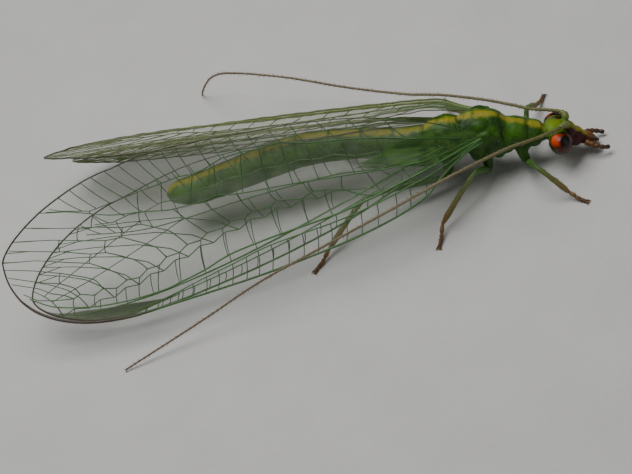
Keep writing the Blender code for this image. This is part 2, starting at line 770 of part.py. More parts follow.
def wing_net(shape):
    """The veins of a wing whose proportions are given."""
    net = VeinNet()
    apex = shape["apex"]
    turn = shape["turn"]
    costal = margin(shape["costal"], turn, apex, shape["roundness"][0])
    hind = margin(shape["hind"], turn, apex, shape["roundness"][1])
    end_marks = [apex - (apex - turn) * gap for gap in APEX_MARKS]
    net.draw("costal", costal, [0.0, ROOT_MARK] + end_marks + [apex])
    net.draw("hind", hind, [0.0, ROOT_MARK])
    net.meet("hind", apex, "costal", apex)
    net.draw("root", lambda v: (0.0, v), [])
    net.meet("root", costal(0.0)[1], "costal", 0.0)
    net.meet("root", hind(0.0)[1], "hind", 0.0)
    net.draw("radius", vein(shape["radius"]), [STEM_MARK])
    net.meet("root", 0.0, "radius", 0.0)
    net.meet("radius", shape["radius_end"], "costal", shape["radius_end"])
    net.draw("sector", vein(shape["sector"]), [])
    net.meet("sector", shape["sector"][0][0], "radius", shape["sector"][0][0])
    net.draw("median", vein(shape["median"]), [])
    net.meet("median", shape["median"][0][0], "radius", shape["median"][0][0])
    net.draw("cubitus", vein(shape["cubitus"]), [])
    net.meet("cubitus", shape["cubitus"][0][0], "radius", STEM_MARK)

    # Ladders of crossveins between neighbouring long veins
    for upper, lower, start, end, count, lean in shape["ladders"]:
        for u in spread(start, end, count):
            net.cross(upper, u, lower, u + lean)

    # The outer field: branches of the sector, tied by two rows of steps
    fan_start, fan_end, fan_count = shape["fan"]
    stems = spread(fan_start, fan_end, fan_count)
    first_end = shape["fan_margin"]
    names = []
    for index, stem in enumerate(stems):
        name = "branch_" + str(index)
        if index == 0:
            tips = (shape["median"][-1][0], shape["cubitus"][-1][0], first_end)
            start = net.veins["sector"][0](stem)
            net.draw(name, lambda t, place=start: place, [0.0])
            net.meet(name, 0.0, "sector", stem)
            net.meet(name, STEP_ROWS[0], "median", tips[0])
            net.meet(name, STEP_ROWS[1], "cubitus", tips[1])
            net.meet(name, 1.0, "hind", tips[2])
        else:
            tip_share = ((index - 1) / (fan_count - 2)) ** BRANCH_CROWDING
            tip = shape["tips"][0] + (shape["tips"][1] - shape["tips"][0]) * tip_share
            start = net.veins["sector"][0](stem)
            end = hind(tip)
            bend = tuple(first + part * (last - first) for first, last, part in zip(start, end, BRANCH_BEND))
            net.draw(name, branch(start, bend, end), [BRANCH_MARK])
            net.meet(name, 0.0, "sector", stem)
            net.meet(name, 1.0, "hind", tip)
            for row in STEP_ROWS:
                net.cross(names[-1], row, name, row)
        names.append(name)
    sector_end = shape["radius_end"] - SECTOR_END_GAP
    net.meet("sector", sector_end, "radius", sector_end)
    net.close()
    return net


def vein_relief(net, name, place_point):
    """A closed plate whose cells are sunk between raised veins, split alike on both faces."""
    sheet = bmesh.new()
    corners = [sheet.verts.new((u, v, WING_THICKNESS / 2 + VEIN_RISE)) for u, v in net.points]
    for cell in net.cells():
        sheet.faces.new([corners[number] for number in cell])
    loose = [corner for corner in sheet.verts if not corner.link_faces]
    bmesh.ops.delete(sheet, geom=loose, context="VERTS")
    bmesh.ops.inset_individual(sheet, faces=sheet.faces[:], thickness=VEIN_HALF_WIDTH, depth=-VEIN_RISE)
    bmesh.ops.triangulate(sheet, faces=sheet.faces[:])
    sheet.verts.index_update()
    plate = bmesh.new()
    places = [corner.co for corner in sheet.verts]
    upper = [plate.verts.new(place_point(u, v, w)) for u, v, w in places]
    lower = [plate.verts.new(place_point(u, v, -w)) for u, v, w in places]
    for face in sheet.faces:
        numbers = [corner.index for corner in face.verts]
        plate.faces.new([upper[number] for number in numbers])
        plate.faces.new([lower[number] for number in reversed(numbers)])
    for edge in sheet.edges:
        if len(edge.link_faces) == 1:
            first, second = (corner.index for corner in edge.verts)
            plate.faces.new((upper[first], upper[second], lower[second]))
            plate.faces.new((upper[first], lower[second], lower[first]))
    bmesh.ops.recalc_face_normals(plate, faces=plate.faces)
    mesh = bpy.data.meshes.new(name)
    plate.to_mesh(mesh)
    sheet.free()
    plate.free()
    return mesh


def wing_frame(side, pose):
    """A wing's root point and its directions to the apex, to the hind margin and outwards."""
    sweep = math.radians(pose["sweep"])
    slope = math.radians(pose["slope"])
    pitch = math.radians(pose["pitch"])
    apexwards = Vector((
        -math.cos(sweep) * math.cos(pitch),
        side * math.sin(sweep) * math.cos(pitch),
        -math.sin(pitch),
    ))
    inwards = Vector((0.0, -side * math.cos(slope), math.sin(slope)))
    inwards = (inwards - apexwards * inwards.dot(apexwards)).normalized()
    outwards = apexwards.cross(inwards) * side
    x, y, z = pose["root"]
    return Vector((x, side * y, z)), apexwards, inwards, outwards


def wing_placer(side, frame, layer, shift, turn, raise_v, anchor):
    """A function from a wing's own u, v, w to the world, bent near the root to meet the thorax."""
    origin, apexwards, inwards, outwards = frame
    lean = math.radians(turn)
    own_u = apexwards * math.cos(lean) - inwards * math.sin(lean)
    own_v = inwards * math.cos(lean) + apexwards * math.sin(lean)
    own_origin = origin + apexwards * shift + inwards * raise_v - outwards * layer
    pull = Vector((anchor[0], side * anchor[1], anchor[2])) - own_origin

    def place_point(u, v, w):
        t = min(max(u / ROOT_RUN, 0.0), 1.0)
        held = 1 - t * t * (3 - 2 * t)
        return (own_origin + own_u * u + own_v * v + outwards * w + pull * held) * MM

    return place_point


def cut_clear_of_abdomen(builder, mesh):
    """A wing's mesh without what would cross the abdomen, its largest piece only."""
    stations = [(x, y, z, wide + JOIN_GAP, tall + JOIN_GAP) for x, y, z, wide, tall in abdomen_stations()]
    room = loft("abdomen_room", station_rings(stations, ABDOMEN_SIDES))
    cutter = bpy.data.objects.new("abdomen_room", room)
    cutter.hide_render = True
    cutter.display_type = "WIRE"
    builder.cutters.objects.link(cutter)
    holder = bpy.data.objects.new("wing_to_cut", mesh)
    builder.collection.objects.link(holder)
    cut = holder.modifiers.new("room", "BOOLEAN")
    cut.operation = "DIFFERENCE"
    cut.solver = "EXACT"
    cut.object = cutter
    seen = holder.evaluated_get(bpy.context.evaluated_depsgraph_get())
    result = bpy.data.meshes.new_from_object(seen)
    result.name = mesh.name
    bpy.data.objects.remove(holder, do_unlink=True)
    keep_largest(result)
    return result


def keep_largest(mesh):
    """Remove all but the largest connected surface."""
    shell = bmesh.new()
    shell.from_mesh(mesh)
    waiting = set(shell.verts)
    groups = []
    while waiting:
        group = {waiting.pop()}
        edge_of_group = list(group)
        while edge_of_group:
            corner = edge_of_group.pop()
            for edge in corner.link_edges:
                other = edge.other_vert(corner)
                if other not in group:
                    group.add(other)
                    edge_of_group.append(other)
        waiting -= group
        groups.append(group)
    groups.sort(key=len)
    for group in groups[:-1]:
        bmesh.ops.delete(shell, geom=list(group), context="VERTS")
    shell.to_mesh(mesh)
    shell.free()


def make_wings(builder, paints):
    """Two forewings, and a hindwing under each."""
    fore_net = wing_net(FOREWING)
    hind_net = wing_net(HINDWING)
    for side in (RIGHT, LEFT):
        label = SIDE_NAMES[side]
        frame = wing_frame(side, FOREWING_POSE[side])
        placer = wing_placer(side, frame, 0.0, 0.0, 0.0, 0.0, FOREWING_ANCHOR)
        mesh = vein_relief(fore_net, "forewing_" + label, placer)
        builder.add("forewing_" + label, mesh, paints["wing"], "thorax_carrier")
        placer = wing_placer(
            side, frame, WING_LAYER_STEP, HINDWING_SHIFT, HINDWING_TURN, HINDWING_RAISE, HINDWING_ANCHOR
        )
        mesh = vein_relief(hind_net, "hindwing_" + label, placer)
        if side == LEFT:
            mesh = cut_clear_of_abdomen(builder, mesh)
        builder.add("hindwing_" + label, mesh, paints["wing"], "thorax_carrier")


def main():
    """Build every piece."""
    remove_everything()
    builder = Builder()
    builder.carrier("thorax_carrier", (4.9, 0.0, 1.5))
    builder.carrier("abdomen_carrier", (3.4, 0.0, 1.5))
    builder.carrier("head_carrier", (6.6, 0.0, 1.0))
    builder.carrier("leg_carrier", (4.9, 0.0, 1.0))
    paints = {
        "body": make_material("abdomen_green", BODY_GREEN, 0.45),
        "thorax": make_material("thorax_green", THORAX_GREEN, 0.45),
        "head": make_material("head_yellow_green", HEAD_GREEN, 0.4),
        "eye": make_material("eye_copper", EYE_COPPER, 0.15),
        "mouth": make_material("mouth_maroon", MOUTH_MAROON, 0.4),
        "palp": make_material("palp_brown", PALP_BROWN, 0.5),
        "feeler": make_material("feeler_olive", FEELER_OLIVE, 0.6),
        "leg": make_material("leg_green", LEG_GREEN, 0.5),
        "foot": make_material("foot_brown", FOOT_BROWN, 0.6),
        "wing": make_material("wing_green", WING_GREEN, 0.3),
    }
    make_body(builder, paints)
    make_head(builder, paints)
    make_feelers(builder, paints)
    make_legs(builder, paints)
    make_wings(builder, paints)


main()
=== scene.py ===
# %% [markdown]
# A green lacewing is a soft green insect about as long as a fingernail is wide.
# The imported solids give the place and size of every part, and this scene gives the parts their looks.
# The solids are loaded first.

# %% Load the solids
import math

import bmesh
import bpy
import numpy as np
from mathutils import Matrix, Vector


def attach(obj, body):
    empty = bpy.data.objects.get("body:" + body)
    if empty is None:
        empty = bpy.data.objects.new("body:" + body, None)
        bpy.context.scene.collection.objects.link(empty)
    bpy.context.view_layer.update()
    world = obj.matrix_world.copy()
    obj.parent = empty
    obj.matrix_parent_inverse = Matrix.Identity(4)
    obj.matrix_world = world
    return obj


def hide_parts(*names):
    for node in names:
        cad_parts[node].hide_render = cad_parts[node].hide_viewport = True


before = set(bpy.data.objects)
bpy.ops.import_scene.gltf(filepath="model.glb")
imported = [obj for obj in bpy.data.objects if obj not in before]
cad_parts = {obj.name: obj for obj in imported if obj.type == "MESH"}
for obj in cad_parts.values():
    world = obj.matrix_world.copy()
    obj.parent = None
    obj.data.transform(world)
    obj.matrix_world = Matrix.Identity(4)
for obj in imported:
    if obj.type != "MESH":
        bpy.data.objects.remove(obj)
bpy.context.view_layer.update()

MM = 0.001
RIGHT = -1
LEFT = 1
SIDES = {"right": RIGHT, "left": LEFT}
print("solids:", len(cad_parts))

# %% [markdown]
# The camera stands where the photo was taken from, above and beside the head, rolled a little.
# Its turn, tilt and roll, the point it aims at and its focal length were fitted to the photo and are
# fixed here. The lens is long, because the insect is very small in front of it.

# %% Camera
VIEW_TILT = 0.7155850
VIEW_TURN = 0.3589123
VIEW_ROLL = 0.4279367
VIEW_TARGET = Vector((-0.549, 0.0, -1.2415))
VIEW_DISTANCE = 50.0
PICTURE_WIDTH = 632
FOCAL_PIXELS = 1782.94
SENSOR_WIDTH = 36.0

view_back = Vector((
    math.sin(VIEW_TURN) * math.cos(VIEW_TILT),
    -math.cos(VIEW_TURN) * math.cos(VIEW_TILT),
    math.sin(VIEW_TILT),
))
level_right = Vector((math.cos(VIEW_TURN), math.sin(VIEW_TURN), 0.0))
level_up = view_back.cross(level_right)
view_right = level_right * math.cos(VIEW_ROLL) - level_up * math.sin(VIEW_ROLL)
view_up = level_up * math.cos(VIEW_ROLL) + level_right * math.sin(VIEW_ROLL)

camera_data = bpy.data.cameras.new("camera")
camera_data.sensor_width = SENSOR_WIDTH
camera_data.lens = FOCAL_PIXELS / PICTURE_WIDTH * SENSOR_WIDTH
camera_data.clip_start = 0.001
camera_data.clip_end = 10.0
camera = bpy.data.objects.new("camera", camera_data)
bpy.context.scene.collection.objects.link(camera)
turned = Matrix((view_right, view_up, view_back)).transposed().to_4x4()
camera.matrix_world = Matrix.Translation((VIEW_TARGET + view_back * VIEW_DISTANCE) * MM) @ turned
bpy.context.scene.camera = camera
print("camera height in mm:", round(camera.matrix_world.translation.z / MM, 1))

# %% [markdown]
# Every surface here is painted with nodes, never with a picture.
# A few small helpers make the node trees short to read: one adds a node, one mixes two colours by a
# value painted on the mesh, and one turns fine noise into bump. Distances inside the trees are in
# millimetres, so that a scale of 20 means twenty grains to the millimetre.

# %% Helpers for materials
def new_material(name, roughness, specular=0.5):
    """A material with a Principled shader whose plain values sit on its own sockets."""
    material = bpy.data.materials.new(name)
    material.use_nodes = True
    shader = material.node_tree.nodes["Principled BSDF"]
    shader.inputs["Roughness"].default_value = roughness
    shader.inputs["Specular IOR Level"].default_value = specular
    return material, shader


def add_node(material, kind, **values):
    """A node with some of its own settings."""
    node = material.node_tree.nodes.new(kind)
    for name, value in values.items():
        setattr(node, name, value)
    return node


def join(material, output, target):
    """A link between two sockets."""
    material.node_tree.links.new(output, target)


def millimetres(material):
    """The place on the object, in millimetres."""
    place = add_node(material, "ShaderNodeTexCoord")
    scale = add_node(material, "ShaderNodeVectorMath", operation="SCALE")
    scale.inputs["Scale"].default_value = 1 / MM
    join(material, place.outputs["Object"], scale.inputs[0])
    return scale.outputs[0]


def grain(material, place, scale, detail=3.0, stretch=None):
    """Soft noise with so many grains to the millimetre."""
    if stretch is not None:
        squeeze = add_node(material, "ShaderNodeVectorMath", operation="MULTIPLY")
        squeeze.inputs[1].default_value = stretch
        join(material, place, squeeze.inputs[0])
        place = squeeze.outputs[0]
    noise = add_node(material, "ShaderNodeTexNoise")
    noise.inputs["Scale"].default_value = scale
    noise.inputs["Detail"].default_value = detail
    join(material, place, noise.inputs["Vector"])
    return noise.outputs["Fac"]


def painted(material, name):
    """A value painted on the mesh."""
    return add_node(material, "ShaderNodeAttribute", attribute_name=name).outputs["Fac"]


def mix(material, share, first, second):
    """One colour turning into another. Each is a colour or a socket."""
    blend = add_node(material, "ShaderNodeMix", data_type="RGBA")
    for value, target in ((share, blend.inputs[0]), (first, blend.inputs[6]), (second, blend.inputs[7])):
        if isinstance(value, bpy.types.NodeSocket):
            join(material, value, target)
        else:
            target.default_value = value
    return blend.outputs[2]


def remap(material, value, low, high, new_low, new_high):
    """A value moved from one range to another."""
    node = add_node(material, "ShaderNodeMapRange")
    for index, number in enumerate((low, high, new_low, new_high), start=1):
        node.inputs[index].default_value = number
    join(material, value, node.inputs[0])
    return node.outputs[0]


def tone_ramp(material, value, tones):
    """Tones at places along a value from 0 to 1."""
    ramp = add_node(material, "ShaderNodeValToRGB")
    join(material, value, ramp.inputs["Fac"])
    while len(ramp.color_ramp.elements) < len(tones):
        ramp.color_ramp.elements.new(0.5)
    for element, (place, tone) in zip(ramp.color_ramp.elements, tones):
        element.position = place
        element.color = tone
    return ramp.outputs[0]


def surface(material, shader, tone, grains, smooth, rough):
    """The colour, and a gloss that follows some noise between two roughness values."""
    join(material, tone, shader.inputs["Base Color"])
    join(material, remap(material, grains, 0.3, 0.7, smooth, rough), shader.inputs["Roughness"])


def bump(material, shader, heights):
    """Fine relief from several noises, each with its height in millimetres."""
    normal = None
    for value, height in heights:
        node = add_node(material, "ShaderNodeBump")
        node.inputs["Strength"].default_value = 1.0
        node.inputs["Distance"].default_value = height * MM
        join(material, value, node.inputs["Height"])
        if normal is not None:
            join(material, normal, node.inputs["Normal"])
        normal = node.outputs["Normal"]
    join(material, normal, shader.inputs["Normal"])


def colour(red, green, blue):
    """A screen colour from 0 to 255 turned into the linear values that Blender mixes."""
    def linear(part):
        part /= 255
        return part / 12.92 if part <= 0.04045 else ((part + 0.055) / 1.055) ** 2.4
    return (linear(red), linear(green), linear(blue), 1.0)


print("a leaf green in linear values:", [round(part, 3) for part in colour(80, 140, 30)])

# %% [markdown]
# A museum model is shown on a plain pale floor under soft light.
# The floor is a wide sheet with a very fine plaster grain. Large area lamps stand for windows:
# the main one is on the camera's side, high up and to its left, and two weak ones open the shadows.

# %% Floor and lights
FLOOR_HALF = 400


def make_floor():
    """A wide pale floor."""
    half = FLOOR_HALF * MM
    mesh = bpy.data.meshes.new("floor")
    corners = [(-half, -half, 0), (half, -half, 0), (half, half, 0), (-half, half, 0)]
    mesh.from_pydata(corners, [], [(0, 1, 2, 3)])
    floor = bpy.data.objects.new("floor", mesh)
    bpy.context.scene.collection.objects.link(floor)
    material, shader = new_material("floor_plaster", 0.75, 0.3)
    place = millimetres(material)
    shade = grain(material, place, 0.5, 5.0)
    tone = mix(material, shade, colour(203, 202, 199), colour(218, 217, 214))
    join(material, tone, shader.inputs["Base Color"])
    bump(material, shader, ((grain(material, place, 4.0, 4.0), 0.03),))
    mesh.materials.append(material)


def make_lamp(name, direction, distance, size, power):
    """A square area lamp that faces the middle of the insect."""
    data = bpy.data.lights.new(name, "AREA")
    data.size = size * MM
    data.energy = power
    lamp = bpy.data.objects.new(name, data)
    bpy.context.scene.collection.objects.link(lamp)
    lamp.location = direction.normalized() * distance * MM
    lamp.rotation_euler = direction.to_track_quat("Z", "Y").to_euler()


LAMPS = (
    ("window", view_up * 0.9 - view_right * 0.55 + view_back * 0.75, 60, 46, 0.0305),
    ("fill", view_right * 0.8 + view_back * 0.9 + view_up * 0.2, 70, 50, 0.003),
    ("rim", Vector((-0.7, 0.8, 0.7)), 70, 40, 0.003),
)
ROOM_COLOUR = (0.92, 0.93, 0.94, 1.0)
ROOM_STRENGTH = 0.10
make_floor()
for lamp_values in LAMPS:
    make_lamp(*lamp_values)
world = bpy.data.worlds.new("soft_room")
world.use_nodes = True
world.node_tree.nodes["Background"].inputs["Color"].default_value = ROOM_COLOUR
world.node_tree.nodes["Background"].inputs["Strength"].default_value = ROOM_STRENGTH
bpy.context.scene.world = world
print("lamps:", len(LAMPS))

# %% [markdown]
# Most forms of an insect are tubes, rings and thin sheets, so a few helpers make all of them.
# A Shape gathers points and faces in millimetres, with values painted on the points, such as how
# yellow a place is. Then make_piece turns it into one mesh, lets it ride on the body and hides the
# solids that it stands for.

# %% Helpers for meshes
class Shape:
    """Points, faces and painted values of one piece, in millimetres."""

    def __init__(self):
        self.points = []
        self.faces = []
        self.paint = {}
        self.count = 0

    def add(self, points, faces, **paint):
        """Add some surface, with a painted value for each point or one for all."""
        points = np.asarray(points, float)
        start = self.count
        for name, value in paint.items():
            layer = self.paint.setdefault(name, [])
            missing = start - sum(len(part) for part in layer)
            layer.append(np.zeros(missing))
            layer.append(np.broadcast_to(np.asarray(value, float), (len(points),)).copy())
        self.points.append(points)
        self.faces += [tuple(start + corner for corner in face) for face in faces]
        self.count += len(points)

    def mesh(self, name):
        """The gathered surface as a mesh in metres."""
        mesh = bpy.data.meshes.new(name)
        mesh.from_pydata(np.concatenate(self.points) * MM, [], self.faces)
        for label, layer in self.paint.items():
            values = np.concatenate(layer)
            values = np.concatenate([values, np.zeros(self.count - len(values))])
            mesh.attributes.new(label, "FLOAT", "POINT").data.foreach_set("value", values)
        return mesh


def make_piece(name, mesh, material, nodes=()):
    """A piece of the insect that rides on its body and stands for some solids."""
    mesh.materials.append(material)
    mesh.shade_smooth()
    piece = bpy.data.objects.new(name, mesh)
    bpy.context.scene.collection.objects.link(piece)
    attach(piece, "root")
    if nodes:
        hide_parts(*nodes)
    print(name, len(mesh.polygons), "faces")


def smooth_path(points, step):
    """Points about one step apart on a smooth curve through the given ones."""
    points = np.asarray(points, float)
    last = len(points) - 1
    route = []
    for index in range(last):
        before = points[max(index - 1, 0)]
        start = points[index]
        end = points[index + 1]
        after = points[min(index + 2, last)]
        pieces = max(1, round(float(np.linalg.norm(end - start)) / step))
        for piece in range(pieces):
            t = piece / pieces
            route.append(
                start * (2 * t**3 - 3 * t**2 + 1) + (end - before) * 0.5 * (t**3 - 2 * t**2 + t)
                + end * (3 * t**2 - 2 * t**3) + (after - start) * 0.5 * (t**3 - t**2)
            )
    route.append(points[last])
    return np.array(route)


def ring_faces(rows, sides):
    """Faces between rows of rings, with a fan at each end. The two middle points come last."""
    faces = []
    for row in range(rows - 1):
        for side in range(sides):
            after = (side + 1) % sides
            low = row * sides
            faces.append((low + side, low + after, low + sides + after, low + sides + side))
    for side in range(sides):
        after = (side + 1) % sides
        faces.append((after, side, rows * sides))
        faces.append(((rows - 1) * sides + side, (rows - 1) * sides + after, rows * sides + 1))
    return faces


TUBE_ACROSS = (0.3, 0.2, 1.0)


def tube(route, radii, sides=8):
    """A closed tube along a route. Its section turns as little as it can on the way."""
    route = np.asarray(route, float)
    radii = np.broadcast_to(np.asarray(radii, float), (len(route),))
    along = np.gradient(route, axis=0)
    along /= np.linalg.norm(along, axis=1)[:, None]
    across = np.array(TUBE_ACROSS, float)
    angles = np.arange(sides) * 2 * math.pi / sides
    rings = []
    for place, way, radius in zip(route, along, radii):
        across = across - way * (across @ way)
        across /= np.linalg.norm(across)
        beside = np.cross(way, across)
        ring = np.outer(np.cos(angles), across) + np.outer(np.sin(angles), beside)
        rings.append(place + ring * radius)
    points = np.concatenate(rings + [route[:1], route[-1:]])
    return points, ring_faces(len(route), sides)


def ease(value, low, high):
    """0 below low, 1 above high and a soft step between."""
    t = np.clip((value - low) / (high - low), 0, 1)
    return t * t * (3 - 2 * t)


def hill(value, centre, width):
    """A soft bump that is 1 at its centre."""
    return np.exp(-(((value - centre) / width) ** 2))


HAIR_LOW = 0.004
HAIR_BEND = 0.12
HAIR_ACROSS = (0.31, 0.22, 0.93)
HAIR_CORNERS = (0.0, 2.094, 4.189)
SPIKE_FACES = ((0, 1, 4, 3), (1, 2, 5, 4), (2, 0, 3, 5), (3, 4, 6), (4, 5, 6), (5, 3, 6), (2, 1, 0))


def add_hairs(shape, roots, ways, lengths, radius, **paint):
    """Thin bent spikes, each a closed mesh of seven faces."""
    for root, way, length in zip(roots, ways, lengths):
        way = way / np.linalg.norm(way)
        across = np.cross(way, HAIR_ACROSS)
        across /= np.linalg.norm(across)
        beside = np.cross(way, across)
        corners = [across * math.cos(a) + beside * math.sin(a) for a in HAIR_CORNERS]
        middle = root + way * length * 0.55
        tip = root + way * length + across * length * HAIR_BEND
        points = [root + corner * radius for corner in corners]
        points += [middle + corner * radius * 0.7 for corner in corners]
        points = np.array(points + [tip])
        points[:, 2] = np.maximum(points[:, 2], HAIR_LOW)
        shape.add(points, SPIKE_FACES, **paint)


sample_points, sample_faces = tube([(0, 0, 0), (0, 0, 1)], 0.1)
print("a short tube has", len(sample_points), "points and", len(sample_faces), "faces")

# %% [markdown]
# The body of a lacewing is soft skin over rings: a neck, three thorax rings, an abdomen of nine rings.
# It could be one sculpted mesh, but simple closed forms that overlap are easier to place well.
# They are joined by a voxel remesh, as if clay lumps were pressed together, and smoothed.
# The result is one skin with no seams from the face to the tail.

# %% Body forms
PROTHORAX = (
    (6.68, -0.03, 0.92, 0.15, 0.13), (6.52, -0.03, 0.95, 0.22, 0.18), (6.40, -0.02, 0.97, 0.29, 0.22),
    (6.30, -0.01, 1.01, 0.36, 0.27), (6.16, 0.0, 1.04, 0.40, 0.31), (6.06, 0.0, 1.06, 0.39, 0.31),
    (5.95, 0.0, 1.10, 0.43, 0.35), (5.70, 0.0, 1.19, 0.44, 0.39), (5.56, 0.0, 1.26, 0.39, 0.37),
    (5.40, 0.0, 1.33, 0.34, 0.36),
)
MESOTHORAX = (
    (5.52, 0.0, 1.32, 0.30, 0.34), (5.39, 0.0, 1.36, 0.42, 0.44), (5.22, 0.0, 1.40, 0.53, 0.54),
    (4.95, 0.0, 1.42, 0.58, 0.60), (4.65, 0.0, 1.44, 0.58, 0.60), (4.45, 0.0, 1.47, 0.50, 0.52),
    (4.32, 0.0, 1.48, 0.40, 0.42),
)
METATHORAX = (
    (4.42, 0.0, 1.48, 0.38, 0.42), (4.28, 0.0, 1.48, 0.50, 0.52), (4.15, 0.0, 1.47, 0.56, 0.56),
    (3.75, 0.0, 1.49, 0.53, 0.54), (3.52, 0.0, 1.50, 0.45, 0.46), (3.36, 0.02, 1.51, 0.36, 0.36),
)
ABDOMEN = (
    (3.50, 0.01, 1.53, 0.34, 0.33), (3.31, 0.03, 1.52, 0.39, 0.38), (2.70, 0.10, 1.47, 0.42, 0.41),
    (1.40, 0.19, 1.69, 0.42, 0.41), (0.00, 0.24, 1.77, 0.46, 0.45), (-1.50, 0.19, 1.54, 0.46, 0.45),
    (-3.05, 0.08, 1.31, 0.43, 0.41), (-3.65, 0.03, 1.34, 0.35, 0.33), (-3.90, 0.02, 1.36, 0.22, 0.22),
    (-4.00, 0.01, 1.37, 0.08, 0.09),
)
SEGMENT_ENDS = (3.36, 2.62, 1.78, 0.90, -0.02, -0.94, -1.82, -2.62, -3.26, -3.66)
SEGMENT_STEP = 0.030
PLEURAL_FOLD = 0.055
SKIN_VOXEL = 0.026
BODY_SIDES = 56


def station_loft(shape, stations, profile=None):
    """A closed oval tube through stations of x, y, z, half width and half height."""
    sides = BODY_SIDES
    line = smooth_path(stations, 0.03)
    centres = line[:, :3]
    along = np.gradient(centres, axis=0)
    along /= np.linalg.norm(along, axis=1)[:, None]
    across = np.cross((0.0, 0.0, 1.0), along)
    across /= np.linalg.norm(across, axis=1)[:, None]
    upwards = np.cross(along, across)
    angles = np.arange(sides) * 2 * math.pi / sides
    wide = line[:, 3:4] * np.ones(sides)
    tall = line[:, 4:5] * np.ones(sides)
    if profile is not None:
        swell = profile(centres[:, :1], angles[None, :])
        wide = wide * swell
        tall = tall * swell
    rings = (
        centres[:, None, :]
        + across[:, None, :] * (wide * np.cos(angles))[:, :, None]
        + upwards[:, None, :] * (tall * np.sin(angles))[:, :, None]
    )
    points = np.concatenate([rings.reshape(-1, 3), centres[:1], centres[-1:]])
    shape.add(points, ring_faces(len(line), sides))


def egg(shape, centre, sizes, pitch=0.0, both_sides=False):
    """A closed egg shape, tipped nose down by a pitch in degrees, on one or both sides."""
    for side in ((RIGHT, LEFT) if both_sides else (LEFT,)):
        rows = 14
        sides = 20
        turns = np.arange(sides) * 2 * math.pi / sides
        points = []
        for row in range(1, rows):
            lift = math.pi * row / rows
            for turn in turns:
                reach = math.sin(lift)
                points.append((math.cos(lift), reach * math.cos(turn), reach * math.sin(turn)))
        points += [(1.0, 0.0, 0.0), (-1.0, 0.0, 0.0)]
        points = np.array(points) * sizes
        tip = math.radians(pitch)
        turned = points.copy()
        turned[:, 0] = points[:, 0] * math.cos(tip) + points[:, 2] * math.sin(tip)
        turned[:, 2] = -points[:, 0] * math.sin(tip) + points[:, 2] * math.cos(tip)
        turned += (centre[0], centre[1], centre[2])
        turned[:, 1] *= side
        shape.add(turned, ring_faces(rows - 1, sides))


def abdomen_swell(x, angle):
    """How far the abdomen's rings and their side folds stand out from the plain oval."""
    swell = np.ones(np.broadcast(x, angle).shape)
    for front, back in zip(SEGMENT_ENDS, SEGMENT_ENDS[1:]):
        share = np.clip((front - x) / (front - back), 0, 1)
        inside = (x <= front) & (x > back)
        swell = swell + inside * (SEGMENT_STEP * (share - 0.5) + 0.012 * np.sin(share * math.pi))
    fold = np.minimum(np.abs(angle - 0.02 * math.pi), np.abs(angle - 0.98 * math.pi))
    fold = np.minimum(fold, np.abs(angle - 2.02 * math.pi))
    return swell - PLEURAL_FOLD * np.exp(-((fold / 0.16) ** 2))


body_forms = Shape()
for stations in (PROTHORAX, MESOTHORAX, METATHORAX):
    station_loft(body_forms, stations)
station_loft(body_forms, ABDOMEN, profile=abdomen_swell)
print("body forms:", len(body_forms.faces), "faces")

# %% [markdown]
# Over the plain rings lie the forms that a close look shows: the lobes and little shields on the back,
# the plates on the sides, the short stout hips under them, and the small valves at the tail.
# Each is an egg shape in the right place, because the remesh turns their meeting lines into soft creases.

# %% Lobes, side plates and hips
BACK_LOBES = (
    ((5.22, 0.0, 1.73), (0.22, 0.26, 0.20), -8), ((4.50, 0.0, 1.88), (0.20, 0.17, 0.17), 0),
    ((3.66, 0.0, 1.86), (0.15, 0.15, 0.14), 0), ((6.22, 0.0, 1.16), (0.18, 0.31, 0.16), 18),
    ((5.84, 0.0, 1.30), (0.22, 0.36, 0.21), 22),
)
PAIRED_LOBES = (
    ((4.92, 0.22, 1.78), (0.33, 0.27, 0.24), 0), ((4.02, 0.20, 1.78), (0.27, 0.24, 0.21), 0),
    ((5.02, 0.50, 1.66), (0.20, 0.12, 0.10), -10), ((4.04, 0.47, 1.62), (0.18, 0.11, 0.10), -10),
    ((5.12, 0.42, 1.20), (0.21, 0.17, 0.40), 16), ((4.74, 0.42, 1.18), (0.21, 0.18, 0.40), 16),
    ((4.14, 0.40, 1.22), (0.18, 0.17, 0.36), 16), ((3.84, 0.38, 1.24), (0.18, 0.17, 0.34), 16),
    ((5.90, 0.28, 0.92), (0.22, 0.15, 0.26), 12), ((5.50, 0.29, 1.04), (0.24, 0.18, 0.30), 24),
    ((6.20, 0.22, 0.92), (0.20, 0.15, 0.18), 20), ((5.34, 0.40, 1.46), (0.15, 0.13, 0.17), 0),
    ((5.30, 0.37, 1.04), (0.21, 0.16, 0.36), 18),
    ((-3.84, 0.10, 1.42), (0.16, 0.10, 0.13), 0), ((-3.80, 0.09, 1.22), (0.20, 0.09, 0.10), 8),
)
HIPS = {
    "fore": ((5.82, 0.24, 0.94), (5.84, 0.34, 0.70), (5.90, 0.43, 0.40), 0.18),
    "mid": ((4.90, 0.28, 1.10), (4.90, 0.36, 0.76), (4.86, 0.43, 0.42), 0.19),
    "hind": ((3.88, 0.28, 1.12), (3.86, 0.36, 0.80), (3.72, 0.43, 0.46), 0.19),
}
for centre, sizes, pitch in BACK_LOBES:
    egg(body_forms, centre, sizes, pitch)
for centre, sizes, pitch in PAIRED_LOBES:
    egg(body_forms, centre, sizes, pitch, both_sides=True)
for top, middle, end, radius in HIPS.values():
    for side in (RIGHT, LEFT):
        route = smooth_path([(x, side * y, z) for x, y, z in (top, middle, end)], 0.06)
        share = np.linspace(0, 1, len(route))
        girth = radius * (1 - 0.42 * share) * (1 - 0.25 * ease(share, 0.9, 1.0))
        body_forms.add(*tube(route, girth, 18))
print("body forms with lobes:", len(body_forms.faces), "faces")

